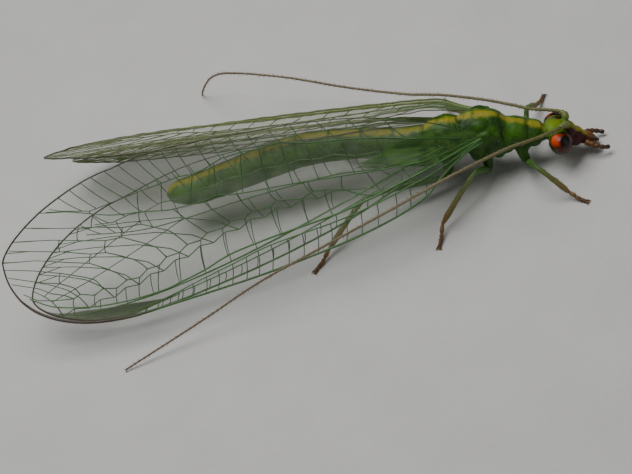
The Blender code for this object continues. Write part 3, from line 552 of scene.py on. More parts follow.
# %% [markdown]
# The head gets the most care. It is a broad capsule with a swollen crown, sockets for the feelers,
# a face that slopes forwards and down, cheeks below the eyes and a rim round each eye.
# The animal looks a little to its left, so the head is built looking ahead and its points are turned.
# All of it joins the same clay, so that the neck and the head are one skin.

# %% Head forms
EYE_CENTRE = (6.90, 0.49, 0.87)
EYE_RADIUS = 0.31
FEELER_SOCKET = (7.20, 0.17, 1.09)
HEAD_TURN = 10.0
HEAD_TIP = 7.0
HEAD_EGGS = (
    ((6.90, 0.0, 0.90), (0.30, 0.42, 0.33), 20), ((6.84, 0.0, 1.06), (0.27, 0.34, 0.20), 22),
    ((7.14, 0.0, 0.89), (0.27, 0.31, 0.25), 40), ((7.35, 0.0, 0.71), (0.21, 0.23, 0.19), 42),
    ((7.51, 0.0, 0.58), (0.16, 0.18, 0.13), 42), ((7.00, 0.0, 0.66), (0.36, 0.28, 0.16), 24),
)
HEAD_PAIRS = (
    ((7.20, 0.26, 0.70), (0.25, 0.12, 0.14), 40), ((6.78, 0.25, 1.03), (0.18, 0.17, 0.16), 20),
    ((7.42, 0.15, 0.56), (0.19, 0.08, 0.10), 42),
)

head_pose = np.array(
    Matrix.Rotation(math.radians(HEAD_TURN), 3, "Z") @ Matrix.Rotation(math.radians(-HEAD_TIP), 3, "X")
)
head_pivot = np.array((EYE_CENTRE[0], RIGHT * EYE_CENTRE[1], EYE_CENTRE[2]))


def turn_head(points):
    """Places on the turned head, from places on a head that looks straight ahead."""
    return (np.asarray(points, float) - head_pivot) @ head_pose.T + head_pivot


def level_head(points):
    """The other way: places on the turned head as if it looked straight ahead."""
    return (np.asarray(points, float) - head_pivot) @ head_pose + head_pivot


RIM_SIDES = 10
RIM_STEPS = 40


def head_ring(centre, axis, radius, thickness):
    """A round rim about an axis."""
    sides, steps = RIM_SIDES, RIM_STEPS
    axis = np.array(axis, float)
    axis /= np.linalg.norm(axis)
    across = np.cross(axis, (0.2, 0.1, 1.0))
    across /= np.linalg.norm(across)
    beside = np.cross(axis, across)
    points = []
    faces = []
    for step in range(steps):
        turn = 2 * math.pi * step / steps
        spoke = across * math.cos(turn) + beside * math.sin(turn)
        for side in range(sides):
            lean = 2 * math.pi * side / sides
            points.append(np.array(centre) + spoke * (radius + thickness * math.cos(lean))
                          + axis * thickness * math.sin(lean))
            after = (side + 1) % sides
            ahead = (step + 1) % steps
            here, there = step * sides, ahead * sides
            faces.append((here + side, there + side, there + after, here + after))
    return points, faces


head_forms = Shape()
for centre, sizes, pitch in HEAD_EGGS:
    egg(head_forms, centre, sizes, pitch)
for centre, sizes, pitch in HEAD_PAIRS:
    egg(head_forms, centre, sizes, pitch, both_sides=True)
for side in (RIGHT, LEFT):
    rim = (EYE_CENTRE[0], side * 0.40, EYE_CENTRE[2])
    head_forms.add(*head_ring(rim, (0.05, side, 0.0), 0.285, 0.035))
    socket = (FEELER_SOCKET[0], side * FEELER_SOCKET[1], FEELER_SOCKET[2])
    head_forms.add(*head_ring(socket, (0.75, side * 0.25, 0.6), 0.10, 0.032))
body_forms.add(turn_head(np.concatenate(head_forms.points)), head_forms.faces)
print("body forms with the head:", len(body_forms.faces), "faces")

# %% [markdown]
# Now the clay is pressed into one skin. The Remesh modifier reads the forms in millimetres, because
# its voxels would be too small to be safe in metres, and the result is scaled down afterwards.

# %% One skin
def one_skin(shape, voxel, rounds):
    """The outer surface of many closed forms as one smooth mesh, in millimetres."""
    mesh = bpy.data.meshes.new("forms")
    mesh.from_pydata(np.concatenate(shape.points), [], shape.faces)
    holder = bpy.data.objects.new("forms", mesh)
    bpy.context.scene.collection.objects.link(holder)
    remesh = holder.modifiers.new("one_skin", "REMESH")
    remesh.mode = "VOXEL"
    remesh.voxel_size = voxel
    soften = holder.modifiers.new("soften", "SMOOTH")
    soften.factor = 0.5
    soften.iterations = rounds
    seen = holder.evaluated_get(bpy.context.evaluated_depsgraph_get())
    skin = bpy.data.meshes.new_from_object(seen)
    bpy.data.objects.remove(holder, do_unlink=True)
    bpy.data.meshes.remove(mesh)
    return skin


def mesh_points(mesh):
    """The places of a mesh's points."""
    flat = np.zeros(len(mesh.vertices) * 3)
    mesh.vertices.foreach_get("co", flat)
    return flat.reshape(-1, 3)


body_mesh = one_skin(body_forms, SKIN_VOXEL, 5)
body_points = mesh_points(body_mesh)
print("skin:", len(body_points), "points")

# %% [markdown]
# The markings follow the body, so they are painted on its points from where each point lies.
# A yellow stripe runs along the back from the neck to the tail. The crown is a paler green,
# a dark red patch covers each cheek in front of the eye, and painted shade darkens the sides towards
# the underside, the folds between the rings and a line at the neck.

# %% Markings of the body
BODY_LINE = sorted(set(PROTHORAX + MESOTHORAX[1:-1] + METATHORAX[1:-1] + ABDOMEN[1:]))
STRIPE_PLACES = (-4.0, 0.0, 3.4, 4.0, 4.6, 5.2, 5.5, 5.7, 6.3)
STRIPE_WIDTHS = (0.13, 0.17, 0.14, 0.12, 0.15, 0.17, 0.08, 0.12, 0.13)
STRIPE_BREAKS = (5.47, 4.82, 4.37, 3.86, 3.44, 6.09, 2.62, 1.78, 0.90, -0.02, -0.94, -1.82, -2.62)
CROWN_PLACE = (6.84, 0.0, 1.16)
CROWN_SIZE = (0.27, 0.34, 0.24)
CHEEK_PLACES = (7.05, 7.20, 7.40, 7.60, 7.70)
CHEEK_EDGES = (0.31, 0.20, 0.12, 0.09, 0.07)
# A line at the neck that gets painted shade.
NECK_SHADE_LINE = ((6.48, 0.30, 0.98), (6.27, 0.38, 1.02), (6.06, 0.41, 1.03))
FLECKS = ((1.32, -0.22, 1.78), (2.30, -0.28, 1.62), (2.05, -0.30, 1.45), (-0.2, -0.35, 1.7))


def line_distance(points, route):
    """How far each point is from a short route, whichever side it is on."""
    route = smooth_path(route, 0.03)
    best = np.full(len(points), 9.0)
    for place in route:
        gap = points - place
        gap[:, 1] = np.abs(points[:, 1]) - place[1]
        best = np.minimum(best, np.linalg.norm(gap, axis=1))
    return best


line = np.array(BODY_LINE)
x = body_points[:, 0]
centre_y = np.interp(x, line[:, 0], line[:, 1])
centre_z = np.interp(x, line[:, 0], line[:, 2])
aside = np.abs(body_points[:, 1] - centre_y)
angle = np.degrees(np.arctan2(body_points[:, 2] - centre_z, aside))
level_points = level_head(body_points)
on_head = ease(level_points[:, 0], 6.56, 6.64)
half_width = np.interp(x, STRIPE_PLACES, STRIPE_WIDTHS)
half_width = half_width * (1 + 0.16 * np.sin(x * 9.3) + 0.10 * np.sin(x * 23.1 + 1.0))
stripe = (1 - ease(aside, half_width * 0.30, half_width * 1.35)) * ease(angle, 20, 40) * (1 - on_head)
for place in STRIPE_BREAKS:
    stripe = stripe * (1 - 0.55 * hill(x, place, 0.06))
crown = on_head * hill(np.linalg.norm((level_points - CROWN_PLACE) / CROWN_SIZE, axis=1), 0, 0.95)
face = on_head * ease(level_points[:, 0] + (0.9 - level_points[:, 2]) * 0.4, 7.10, 7.36)
aside_head = np.abs(level_points[:, 1])
cheek_edge = np.interp(level_points[:, 0], CHEEK_PLACES, CHEEK_EDGES)
cheek = on_head * ease(level_points[:, 0], 7.06, 7.14) * ease(aside_head, cheek_edge, cheek_edge + 0.045)
# Painted shade: the sides darken towards the underside, where less light falls.
underside_shade = 1 - ease(angle, -75, -15)
# Painted shade in the folds between the rings and along the line at the neck.
creases = np.zeros(len(x))
for place in SEGMENT_ENDS[:-1]:
    creases = np.maximum(creases, hill(x, place, 0.022))
for place, width in ((5.47, 0.03), (4.37, 0.03), (3.44, 0.04), (6.09, 0.025), (6.50, 0.05)):
    creases = np.maximum(creases, 0.8 * hill(x, place, width))
creases = np.maximum(creases, hill(line_distance(body_points, NECK_SHADE_LINE), 0, 0.04))
fleck = np.zeros(len(x))
for place in FLECKS:
    fleck = np.maximum(fleck, hill(np.linalg.norm(body_points - place, axis=1), 0, 0.06))
paint = {
    "stripe": stripe, "crown": crown, "face": face, "cheek": cheek, "underside_shade": underside_shade,
    "crease": creases, "fleck": fleck,
}
for label, values in paint.items():
    body_mesh.attributes.new(label, "FLOAT", "POINT").data.foreach_set("value", values)
body_mesh.transform(Matrix.Scale(MM, 4))
print("painted values:", ", ".join(paint))

# %% [markdown]
# Living green skin is not one green. It is mottled, a little waxy, and light comes some way through it.
# The tree mixes the painted marks over mottled green, with painted shade in the folds and towards the
# underside, and adds two sizes of bump, so that highlights break up as they do on real cuticle.

# %% Skin material
SIDE_GREEN = colour(58, 106, 9)
DEEP_GREEN = colour(18, 56, 3)
STRIPE_YELLOW = colour(150, 146, 14)
CROWN_GREEN = colour(128, 154, 6)
FACE_OLIVE = colour(128, 120, 16)
CHEEK_MAROON = colour(56, 8, 6)


def green_skin():
    """Mottled green cuticle with the body's markings."""
    material, shader = new_material("lacewing_skin", 0.48, 0.32)
    place = millimetres(material)
    broad = grain(material, place, 2.4, 4.0)
    fine = grain(material, place, 14.0, 3.0)
    green = mix(material, remap(material, broad, 0.35, 0.65, 0.0, 1.0), DEEP_GREEN, SIDE_GREEN)
    green = mix(material, remap(material, fine, 0.4, 0.75, 0.0, 0.35), green, colour(84, 130, 14))
    # Painted shade: darker green towards the underside.
    green = mix(material, remap(material, painted(material, "underside_shade"), 0, 1, 0, 0.45), green, DEEP_GREEN)
    edge = remap(material, fine, 0.3, 0.7, 0.6, 1.0)
    yellow = mix(material, remap(material, broad, 0.3, 0.7, 0, 1), STRIPE_YELLOW, colour(172, 156, 58))
    share = add_node(material, "ShaderNodeMath", operation="MULTIPLY")
    join(material, painted(material, "stripe"), share.inputs[0])
    join(material, edge, share.inputs[1])
    tone = mix(material, share.outputs[0], green, yellow)
    tone = mix(material, painted(material, "crown"), tone, CROWN_GREEN)
    tone = mix(material, painted(material, "face"), tone, FACE_OLIVE)
    tone = mix(material, painted(material, "cheek"), tone, CHEEK_MAROON)
    # Painted shade: darker green in the folds and along the neck line.
    tone = mix(material, remap(material, painted(material, "crease"), 0, 1, 0, 0.55), tone, DEEP_GREEN)
    tone = mix(material, remap(material, painted(material, "fleck"), 0, 1, 0, 0.8), tone, colour(22, 30, 8))
    surface(material, shader, tone, fine, 0.38, 0.6)
    shader.inputs["Subsurface Weight"].default_value = 0.12
    shader.inputs["Subsurface Scale"].default_value = 0.15 * MM
    wrinkles = grain(material, place, 9.0, 3.0, stretch=(2.4, 0.8, 0.8))
    bump(material, shader, ((wrinkles, 0.012), (grain(material, place, 45.0, 2.0), 0.003)))
    return material


skin_material = green_skin()
SKIN_NODES = ["prothorax", "mesothorax", "metathorax", "abdomen", "head"]
SKIN_NODES += ["leg_" + pair + "_" + side + "_coxa" for pair in HIPS for side in SIDES]
make_piece("body_skin", body_mesh, skin_material, SKIN_NODES)

# %% [markdown]
# Fine pale bristles stand on the back and the sides, too few to make a coat, but a close look misses
# them when they are absent. Each is a thin bent spike rooted in the skin. A seeded draw picks the
# points of the skin that carry one, and a small map gives each hair its place for its colour.

# %% Bristles of the body
BRISTLES = 420
BRISTLE_LENGTH = 0.085
BRISTLE_RADIUS = 0.0035
BRISTLE_DEPTH = 0.01
hair_dice = np.random.default_rng(5)


def skin_normals(mesh):
    """The outward direction at each point of a mesh."""
    flat = np.zeros(len(mesh.vertices) * 3)
    mesh.vertices.foreach_get("normal", flat)
    return flat.reshape(-1, 3)


def bristle_material():
    """Pale straw-coloured hair."""
    material, shader = new_material("bristle_straw", 0.5)
    place = millimetres(material)
    fine = grain(material, place, 12.0, 2.0)
    tone = mix(material, fine, colour(150, 150, 84), colour(206, 204, 150))
    surface(material, shader, tone, fine, 0.4, 0.6)
    bump(material, shader, ((fine, 0.001),))
    return material


HAIR_PATCH = 0.003
TAIL_REACH = 4.2
BODY_REACH = 12.4
AXIS_HEIGHT = 1.4


def add_patch_map(mesh, roots):
    """A UV map where each hair is a small patch at its root's place along and round the body."""
    along = (roots[:, 0] + TAIL_REACH) / BODY_REACH
    turn = np.arctan2(roots[:, 2] - AXIS_HEIGHT, roots[:, 1]) / (2 * math.pi) + 0.5
    corner = np.array([(0, 0), (1, 0), (0.5, 1), (0, 0.5), (1, 0.5), (0.5, 0.5), (0.5, 0.9)]) * HAIR_PATCH
    layer = mesh.uv_layers.new(name="OFBake")
    for loop in mesh.loops:
        hair, point = divmod(loop.vertex_index, 7)
        place = np.clip((along[hair], turn[hair]), 0.0, 0.99) + corner[point]
        layer.data[loop.index].uv = place


normals = skin_normals(body_mesh)
upper = np.flatnonzero((angle > -35) & (cheek < 0.3) & (on_head < 0.5))
chosen = hair_dice.choice(upper, BRISTLES, replace=False)
bristles = Shape()
backwards = np.array((-0.55, 0.0, 0.1))
reaches = BRISTLE_LENGTH * (0.6 + 0.7 * hair_dice.random(BRISTLES))
roots = body_points[chosen] - normals[chosen] * BRISTLE_DEPTH
add_hairs(bristles, roots, normals[chosen] + backwards, reaches, BRISTLE_RADIUS)
bristle_mesh = bristles.mesh("body_bristles")
add_patch_map(bristle_mesh, body_points[chosen])
make_piece("body_bristles", bristle_mesh, bristle_material())

# %% [markdown]
# A lacewing's eyes are hemispheres of thousands of six-sided lenses that shine like copper.
# Six-sided cells come from an icosphere turned inside out: each corner of it becomes the raised middle
# of a cell, and each of its triangles becomes a corner between three cells.
# The black middle and the coppery rings round it are painted by the angle from a fixed line of sight,
# one for each eye, and the inner top of each eye is a plain dark olive. A bright orange crescent on the
# side of each eye that faces a fixed direction is a painted highlight.

# %% Eyes
EYE_LOOK = {RIGHT: (0.58, -0.55, 0.615), LEFT: (0.27, -0.35, 0.90)}
# Fixed directions of the painted highlight on each eye.
EYE_HIGHLIGHT_SIDE = {RIGHT: (-0.26, -0.33, 0.91), LEFT: (-0.30, 0.80, 0.50)}
LENS_DOME = 0.006
EYE_BALL = EYE_RADIUS - 0.016


def eye_shape(side):
    """An eye with a low dome for each of its lenses."""
    ball = bmesh.new()
    bmesh.ops.create_icosphere(ball, subdivisions=5, radius=1.0)
    ball.verts.index_update()
    ball.faces.index_update()
    domes = np.array([corner.co for corner in ball.verts]) * (EYE_BALL + LENS_DOME)
    corners = np.array([face.calc_center_median().normalized() for face in ball.faces]) * EYE_BALL
    faces = []
    for edge in ball.edges:
        ends = [corner.index for corner in edge.verts]
        wings = [len(domes) + face.index for face in edge.link_faces]
        for end, (first, second) in zip(ends, (wings, wings[::-1])):
            spot = domes[end]
            a, b = (corners[wing - len(domes)] for wing in (first, second))
            outward = np.dot(np.cross(a - spot, b - spot), spot) > 0
            faces.append((end, first, second) if outward else (end, second, first))
    ball.free()
    centre = np.array((EYE_CENTRE[0], side * EYE_CENTRE[1], EYE_CENTRE[2]))
    points = turn_head(np.concatenate([domes, corners]) + centre)
    ways = points - turn_head(centre)
    ways /= np.linalg.norm(ways, axis=1)[:, None]
    look = np.array(EYE_LOOK[side]) / np.linalg.norm(EYE_LOOK[side])
    highlight_way = np.array(EYE_HIGHLIGHT_SIDE[side]) / np.linalg.norm(EYE_HIGHLIGHT_SIDE[side])
    off = np.degrees(np.arccos(np.clip(ways @ look, -1, 1))) / 90
    inner = ease(0.7 * ways[:, 2] - 0.7 * side * ways[:, 1], 0.62, 0.90)
    off = off + (1.0 - off) * inner
    # Painted highlight: bright orange on the side of the eye that faces a fixed direction, within the rings.
    lit = (1 - inner) * ease(ways @ highlight_way, 0.62, 0.98)
    lit = lit * ease(off, 0.30, 0.52) * (1 - 0.7 * ease(off, 0.85, 1.1))
    shape = Shape()
    shape.add(points, faces, off=off, lit=lit)
    return shape


def eye_material():
    """Copper rings round a black middle, with a painted orange highlight, under a clear hard coat."""
    material, shader = new_material("eye_copper", 0.3, 0.35)
    tones = (
        (0.0, colour(4, 3, 3)), (0.25, colour(8, 4, 3)), (0.38, colour(44, 10, 4)),
        (0.55, colour(92, 28, 8)), (0.72, colour(80, 38, 10)), (0.86, colour(66, 54, 18)),
        (1.0, colour(54, 56, 22)),
    )
    rings = tone_ramp(material, painted(material, "off"), tones)
    mottle = grain(material, millimetres(material), 9.0, 3.0)
    tone = mix(material, remap(material, mottle, 0.35, 0.7, 0, 0.35), rings, colour(58, 14, 6))
    # Painted highlight: the rings turn bright orange where the highlight is painted.
    highlighted_rings = mix(material, painted(material, "lit"), tone, colour(240, 78, 18))
    surface(material, shader, highlighted_rings, mottle, 0.26, 0.42)
    shader.inputs["Coat Weight"].default_value = 0.22
    shader.inputs["Coat Roughness"].default_value = 0.08
    bump(material, shader, ((grain(material, millimetres(material), 60.0, 1.0), 0.001),))
    return material


copper = eye_material()
for label, side in SIDES.items():
    make_piece("eye_" + label, eye_shape(side).mesh("eye_" + label), copper, ["eye_" + label])

# %% [markdown]
# Horny parts, such as jaws, palps, feelers, legs and claws, share one kind of finish: a thin hard
# surface that runs from one tone to another along the limb. One function makes them all from a
# list of tones along the painted value "along", with a fine grain and short scratches as bump.

# %% Finish for limbs
def limb_material(name, tones, roughness=0.45):
    """A finish whose tone changes along a limb."""
    material, shader = new_material(name, roughness)
    ramp = tone_ramp(material, painted(material, "along"), tones)
    place = millimetres(material)
    fine = grain(material, place, 22.0, 3.0)
    tone = mix(material, remap(material, fine, 0.35, 0.7, 0.0, 0.45), ramp, colour(52, 56, 20))
    surface(material, shader, tone, fine, roughness - 0.1, roughness + 0.12)
    bump(material, shader, ((fine, 0.006), (grain(material, place, 70.0, 2.0), 0.002)))
    return material


leg_finish = limb_material("leg_green", (
    (0.0, colour(58, 102, 22)), (0.45, colour(78, 122, 48)), (0.55, colour(104, 128, 66)),
    (0.8, colour(122, 116, 58)), (1.0, colour(134, 98, 50)),
))
foot_finish = limb_material("foot_brown", ((0.0, colour(136, 104, 56)), (1.0, colour(104, 72, 42))), 0.55)
feeler_finish = limb_material("feeler_olive", (
    (0.0, colour(120, 122, 68)), (0.25, colour(138, 126, 92)), (1.0, colour(132, 112, 90)),
), 0.6)
scape_finish = limb_material("scape_green", ((0.0, colour(110, 128, 30)), (1.0, colour(132, 140, 84))))
jaw_finish = limb_material("jaw_maroon", ((0.0, colour(128, 80, 26)), (1.0, colour(46, 12, 8))), 0.35)
palp_finish = limb_material("palp_brown", ((0.0, colour(128, 78, 30)), (1.0, colour(40, 24, 14))), 0.4)
LIMB_FINISHES = (leg_finish, foot_finish, feeler_finish, scape_finish, jaw_finish, palp_finish)
print("limb finishes:", ", ".join(finish.name for finish in LIMB_FINISHES))

# %% [markdown]
# The mouth is small and points forwards and down: an upper lip, two curved jaws and two pairs of
# jointed palps. Each palp is a string of short tubes, thinner at the joints, as the real ones are.

# %% Mouth and palps
PALP_ROUTE = (
    (7.52, 0.20, 0.48), (7.63, 0.30, 0.45), (7.76, 0.37, 0.38), (7.92, 0.40, 0.29), (8.08, 0.36, 0.22),
)
LOWER_PALP = ((7.52, 0.10, 0.38), (7.64, 0.16, 0.30), (7.77, 0.18, 0.22), (7.88, 0.15, 0.17))
JAW = ((7.52, 0.19, 0.47), (7.66, 0.18, 0.39), (7.78, 0.10, 0.33), (7.83, 0.02, 0.31))
LIP = ((7.54, 0.0, 0.55), (7.66, 0.0, 0.47), (7.78, 0.0, 0.38))


def jointed_tube(shape, route, radius, joints, end_share=0.7, sides=12, start=0.0, end=1.0):
    """A limb of several pieces, pinched at the joints, with soft ends."""
    route = smooth_path(route, 0.012)
    share = np.linspace(0, 1, len(route))
    beat = np.abs(np.sin(share * math.pi * joints))
    girth = radius * (1 - (1 - end_share) * share) * (0.62 + 0.38 * beat ** 0.5)
    girth = girth * np.sqrt(1 - 0.94 * ease(share, 0.95, 1.0))
    girth = girth * np.sqrt(1 - 0.5 * (1 - ease(share, 0.0, 0.03)))
    along = start + (end - start) * np.append(np.repeat(share, sides), (0, 1))
    shape.add(*tube(route, girth, sides), along=along)


def both_ways(route, side):
    """A route on one side of the turned head."""
    return turn_head([(x, side * y, z) for x, y, z in route])


mouth = Shape()
jointed_tube(mouth, both_ways(LIP, LEFT), 0.15, 1, 0.6, 24, 0.0, 0.35)
for side in (RIGHT, LEFT):
    route = smooth_path(both_ways(JAW, side), 0.012)
    share = np.linspace(0, 1, len(route))
    girth = 0.085 * (1 - share) ** 0.6 + 0.006
    mouth.add(*tube(route, girth, 14), along=0.45 + 0.55 * np.append(np.repeat(share, 14), (0, 1)))
    jointed_tube(mouth, both_ways(LOWER_PALP, side), 0.056, 3, 0.8, 10, 0.6, 1.0)
make_piece("mouthparts", mouth.mesh("mouthparts"), jaw_finish, ["mouthparts"])
for label, side in SIDES.items():
    palp = Shape()
    jointed_tube(palp, both_ways(PALP_ROUTE, side), 0.078, 5, 0.75)
    make_piece("palp_" + label, palp.mesh("palp_" + label), palp_finish, ["palp_" + label])

# %% [markdown]
# A feeler starts with a stout base piece and a small ring, then runs out in about ninety short rings,
# each a little wider at its far end and set with fine hairs. A loop makes the rings: the radius of one
# long tube rises and falls with each of them, and the hairs stand on the widest row of points of each.

# %% Feelers
FEELER_RINGS = 92
FEELER_RADII = (0.046, 0.024)
FEELER_BASE = {
    "right": ((7.12, -0.10, 1.06), (7.09, -0.21, 1.22), (6.98, -0.40, 1.33)),
    "left": ((7.07, 0.23, 1.00), (7.08, 0.33, 1.10), (6.99, 0.45, 1.13)),
}
FEELER_ROUTE = {
    "right": (
        (6.98, -0.40, 1.33), (6.70, -0.70, 1.47), (6.28, -1.05, 1.66), (5.60, -1.55, 1.94),
        (4.20, -2.38, 2.12), (2.80, -2.92, 1.96), (0.45, -3.60, 1.56), (-1.10, -3.86, 1.12),
        (-2.85, -4.30, 0.55), (-5.05, -5.08, 0.06),
    ),
    "left": (
        (6.99, 0.45, 1.13), (6.62, 0.68, 1.08), (6.13, 1.00, 0.97), (5.61, 1.40, 0.90), (4.80, 1.78, 0.98),
        (3.66, 2.34, 0.96), (2.55, 2.90, 0.80), (0.84, 3.50, 1.00), (-0.82, 3.92, 1.46), (-2.55, 4.55, 1.56),
        (-3.39, 5.16, 1.10), (-3.91, 5.52, 0.50), (-4.16, 5.76, 0.05),
    ),
}


def feeler_shape(route):
    """A long ringed feeler with hairs."""
    line = smooth_path(route, 0.01)
    length = np.append(0, np.cumsum(np.linalg.norm(np.diff(line, axis=0), axis=1)))
    steps = np.linspace(0, length[-1], FEELER_RINGS * 4 + 1)
    line = np.stack([np.interp(steps, length, line[:, axis]) for axis in range(3)], axis=1)
    share = steps / steps[-1]
    swell = np.tile((0.86, 0.96, 1.06, 1.14), FEELER_RINGS)
    girth = (FEELER_RADII[0] + (FEELER_RADII[1] - FEELER_RADII[0]) * share ** 0.7) * np.append(swell, 0.4)
    shape = Shape()
    sides = 10
    points, faces = tube(line, girth, sides)
    shape.add(points, faces, along=np.append(np.repeat(share, sides), (0, 1)))
    along = np.gradient(line, axis=0)
    for row in range(3, len(line) - 1, 4):
        way = along[row] / np.linalg.norm(along[row])
        for side in hair_dice.choice(sides, 5, replace=False):
            root = points[row * sides + side]
            out = root - line[row]
            out /= np.linalg.norm(out)
            reach = 0.075 + 0.035 * hair_dice.random()
            add_hairs(shape, [root - out * 0.004], [out * 0.75 + way], [reach], 0.0055, along=share[row])
    return shape


for label, side in SIDES.items():
    scape = Shape()
    base = smooth_path(FEELER_BASE[label], 0.012)
    share = np.linspace(0, 1, len(base))
    girth = np.interp(share, (0, 0.1, 0.35, 0.6, 0.68, 0.74, 0.86, 0.96, 1.0),
                      (0.06, 0.088, 0.098, 0.090, 0.060, 0.066, 0.070, 0.060, 0.046))
    scape.add(*tube(base, girth, 20), along=np.append(np.repeat(share, 20), (0, 1)))
    make_piece("scape_" + label, scape.mesh("scape_" + label), scape_finish, ["scape_" + label])
    feeler = feeler_shape(FEELER_ROUTE[label])
    lengths = ["feeler_" + label + "_" + str(number) for number in (1, 2, 3)]
    make_piece("feeler_" + label, feeler.mesh("feeler_" + label), feeler_finish, lengths)

# %% [markdown]
# Each leg has a spindle-shaped thigh, a thin shin with short bristles and a foot of five small rings
# that ends in two claws and a soft pad. The joints lie close to the solids' own, and the foot is laid
# flat on the floor.

# %% Legs
LEGS = {
    ("fore", "right"): ((5.90, 0.44, 0.38), (6.24, 1.34, 0.98), (6.92, 1.70, 0.24), (7.31, 1.95, 0.07)),
    ("mid", "right"): ((4.86, 0.44, 0.38), (4.62, 1.12, 1.00), (3.57, 2.02, 0.26), (3.44, 2.62, 0.07)),
    ("hind", "right"): ((3.72, 0.44, 0.42), (1.55, 1.00, 0.78), (0.46, 2.12, 0.22), (0.06, 2.68, 0.07)),
    ("fore", "left"): ((5.90, 0.44, 0.38), (5.98, 1.36, 0.72), (6.14, 1.92, 0.26), (6.31, 2.50, 0.07)),
    ("mid", "left"): ((4.86, 0.44, 0.38), (4.58, 1.30, 0.84), (3.66, 2.58, 0.26), (3.47, 3.18, 0.07)),
    ("hind", "left"): ((3.72, 0.44, 0.42), (1.70, 0.92, 0.64), (0.74, 1.46, 0.24), (0.34, 1.98, 0.07)),
}
THIGH_RADIUS = 0.100
SHIN_RADIUS = 0.074
FOOT_RADIUS = 0.058
FOOT_ENDS = (0.0, 0.36, 0.54, 0.68, 0.80, 1.0)
THIGH_FORM = (0.6, 0.9, 1.0, 0.98, 0.85, 0.7, 0.72, 0.4)
SHIN_FORM = (0.7, 1.0, 0.88, 0.9, 1.0, 1.06, 1.1, 0.6)
FOOT_FORM = (0.6, 0.8, 0.95, 1.1, 0.7)
CLAW_LOW = 0.024


def limb_hairs(shape, line, girth, count, length, start, end):
    """Short bristles that lean towards the foot."""
    along = np.gradient(line, axis=0)
    for spot in hair_dice.integers(3, len(line) - 3, count):
        way = along[spot] / np.linalg.norm(along[spot])
        out = np.cross(way, hair_dice.normal(size=3))
        out /= np.linalg.norm(out)
        root = line[spot] + out * girth[spot] * 0.92
        tone = start + (end - start) * spot / len(line)
        reach = length * (0.7 + 0.6 * hair_dice.random())
        add_hairs(shape, [root], [out * 0.8 + way], [reach], 0.0045, along=tone)


def spindle(shape, start, end, bow, radii, low, high, sides=16):
    """A limb piece whose girth follows a few radii along it, bowed a little upwards."""
    start, end = np.array(start), np.array(end)
    share = np.linspace(0, 1, 40)
    line = start + (end - start) * share[:, None]
    line[:, 2] += bow * np.sin(share * math.pi)
    girth = np.interp(share, np.linspace(0, 1, len(radii)), radii)
    girth = np.convolve(np.pad(girth, 2, mode="edge"), np.ones(5) / 5, "valid")
    tone = low + (high - low) * share
    shape.add(*tube(line, girth, sides), along=np.append(np.repeat(tone, sides), (low, high)))
    return line, girth


for (pair, label), joints in LEGS.items():
    side = SIDES[label]
    hip, knee, ankle, toe = (np.array((x, side * y, z)) for x, y, z in joints)
    name = pair + "_" + label
    leg = Shape()
    t = THIGH_RADIUS
    s = SHIN_RADIUS
    line, girth = spindle(leg, hip, knee, 0.05, [t * part for part in THIGH_FORM], 0.0, 0.5)
    limb_hairs(leg, line, girth, 50, 0.060, 0.0, 0.5)
    line, girth = spindle(leg, knee, ankle, 0.03, [s * part for part in SHIN_FORM], 0.5, 1.0)
    limb_hairs(leg, line, girth, 90, 0.065, 0.5, 1.0)
    nodes = ["leg_" + name + "_" + part for part in ("femur", "tibia")]
    make_piece("leg_" + name, leg.mesh("leg_" + name), leg_finish, nodes)

    foot = Shape()
    way = (toe - ankle) / np.linalg.norm(toe - ankle)
    for low, high in zip(FOOT_ENDS, FOOT_ENDS[1:]):
        start, end = (ankle + (toe - ankle) * share for share in (low, high))
        drop = 0.05 * math.sin(math.pi * (low + high) / 2)
        start = start - (0, 0, drop * (low > 0))
        end = end - (0, 0, drop)
        f = FOOT_RADIUS * (1 - 0.25 * low)
        form = [f * part for part in FOOT_FORM]
        line, girth = spindle(foot, start, end + way * 0.02, 0.0, form, low, high, 12)
        limb_hairs(foot, line, girth, 14, 0.045, low, high)
    nodes = ["leg_" + name + "_tarsus"]
    make_piece("foot_" + name, foot.mesh("foot_" + name), foot_finish, nodes)

    claws = Shape()
    level = np.cross(way, (0, 0, 1))
    level /= np.linalg.norm(level)
    for turn in (-1, 1):
        hook = smooth_path([
            toe, toe + way * 0.05 + level * turn * 0.04 + (0, 0, 0.02),
            toe + way * 0.10 + level * turn * 0.07 - (0, 0, 0.01),
            toe + way * 0.12 + level * turn * 0.08 - (0, 0, 0.055),
        ], 0.012)
        hook[:, 2] = np.maximum(hook[:, 2], CLAW_LOW)
        share = np.linspace(0, 1, len(hook))
        claws.add(*tube(hook, 0.020 * (1 - share) ** 0.7 + 0.002, 8), along=1.0)
    egg(claws, toe + way * 0.05 - (0, 0, 0.015), (0.055, 0.05, 0.025))
    make_piece("claws_" + name, claws.mesh("claws_" + name), foot_finish)

# %% [markdown]
# A wing is a clear skin about a hundredth of a millimetre thick, held out by a net of hollow veins.
# The skin could carry the veins as a painted pattern, but veins catch the light and cast shadows,
# so they are real tubes here, in a mesh of their own over a thin closed sheet.
# Both follow the same lines in the wing's own plane: u runs from root to tip, v towards the hind edge.

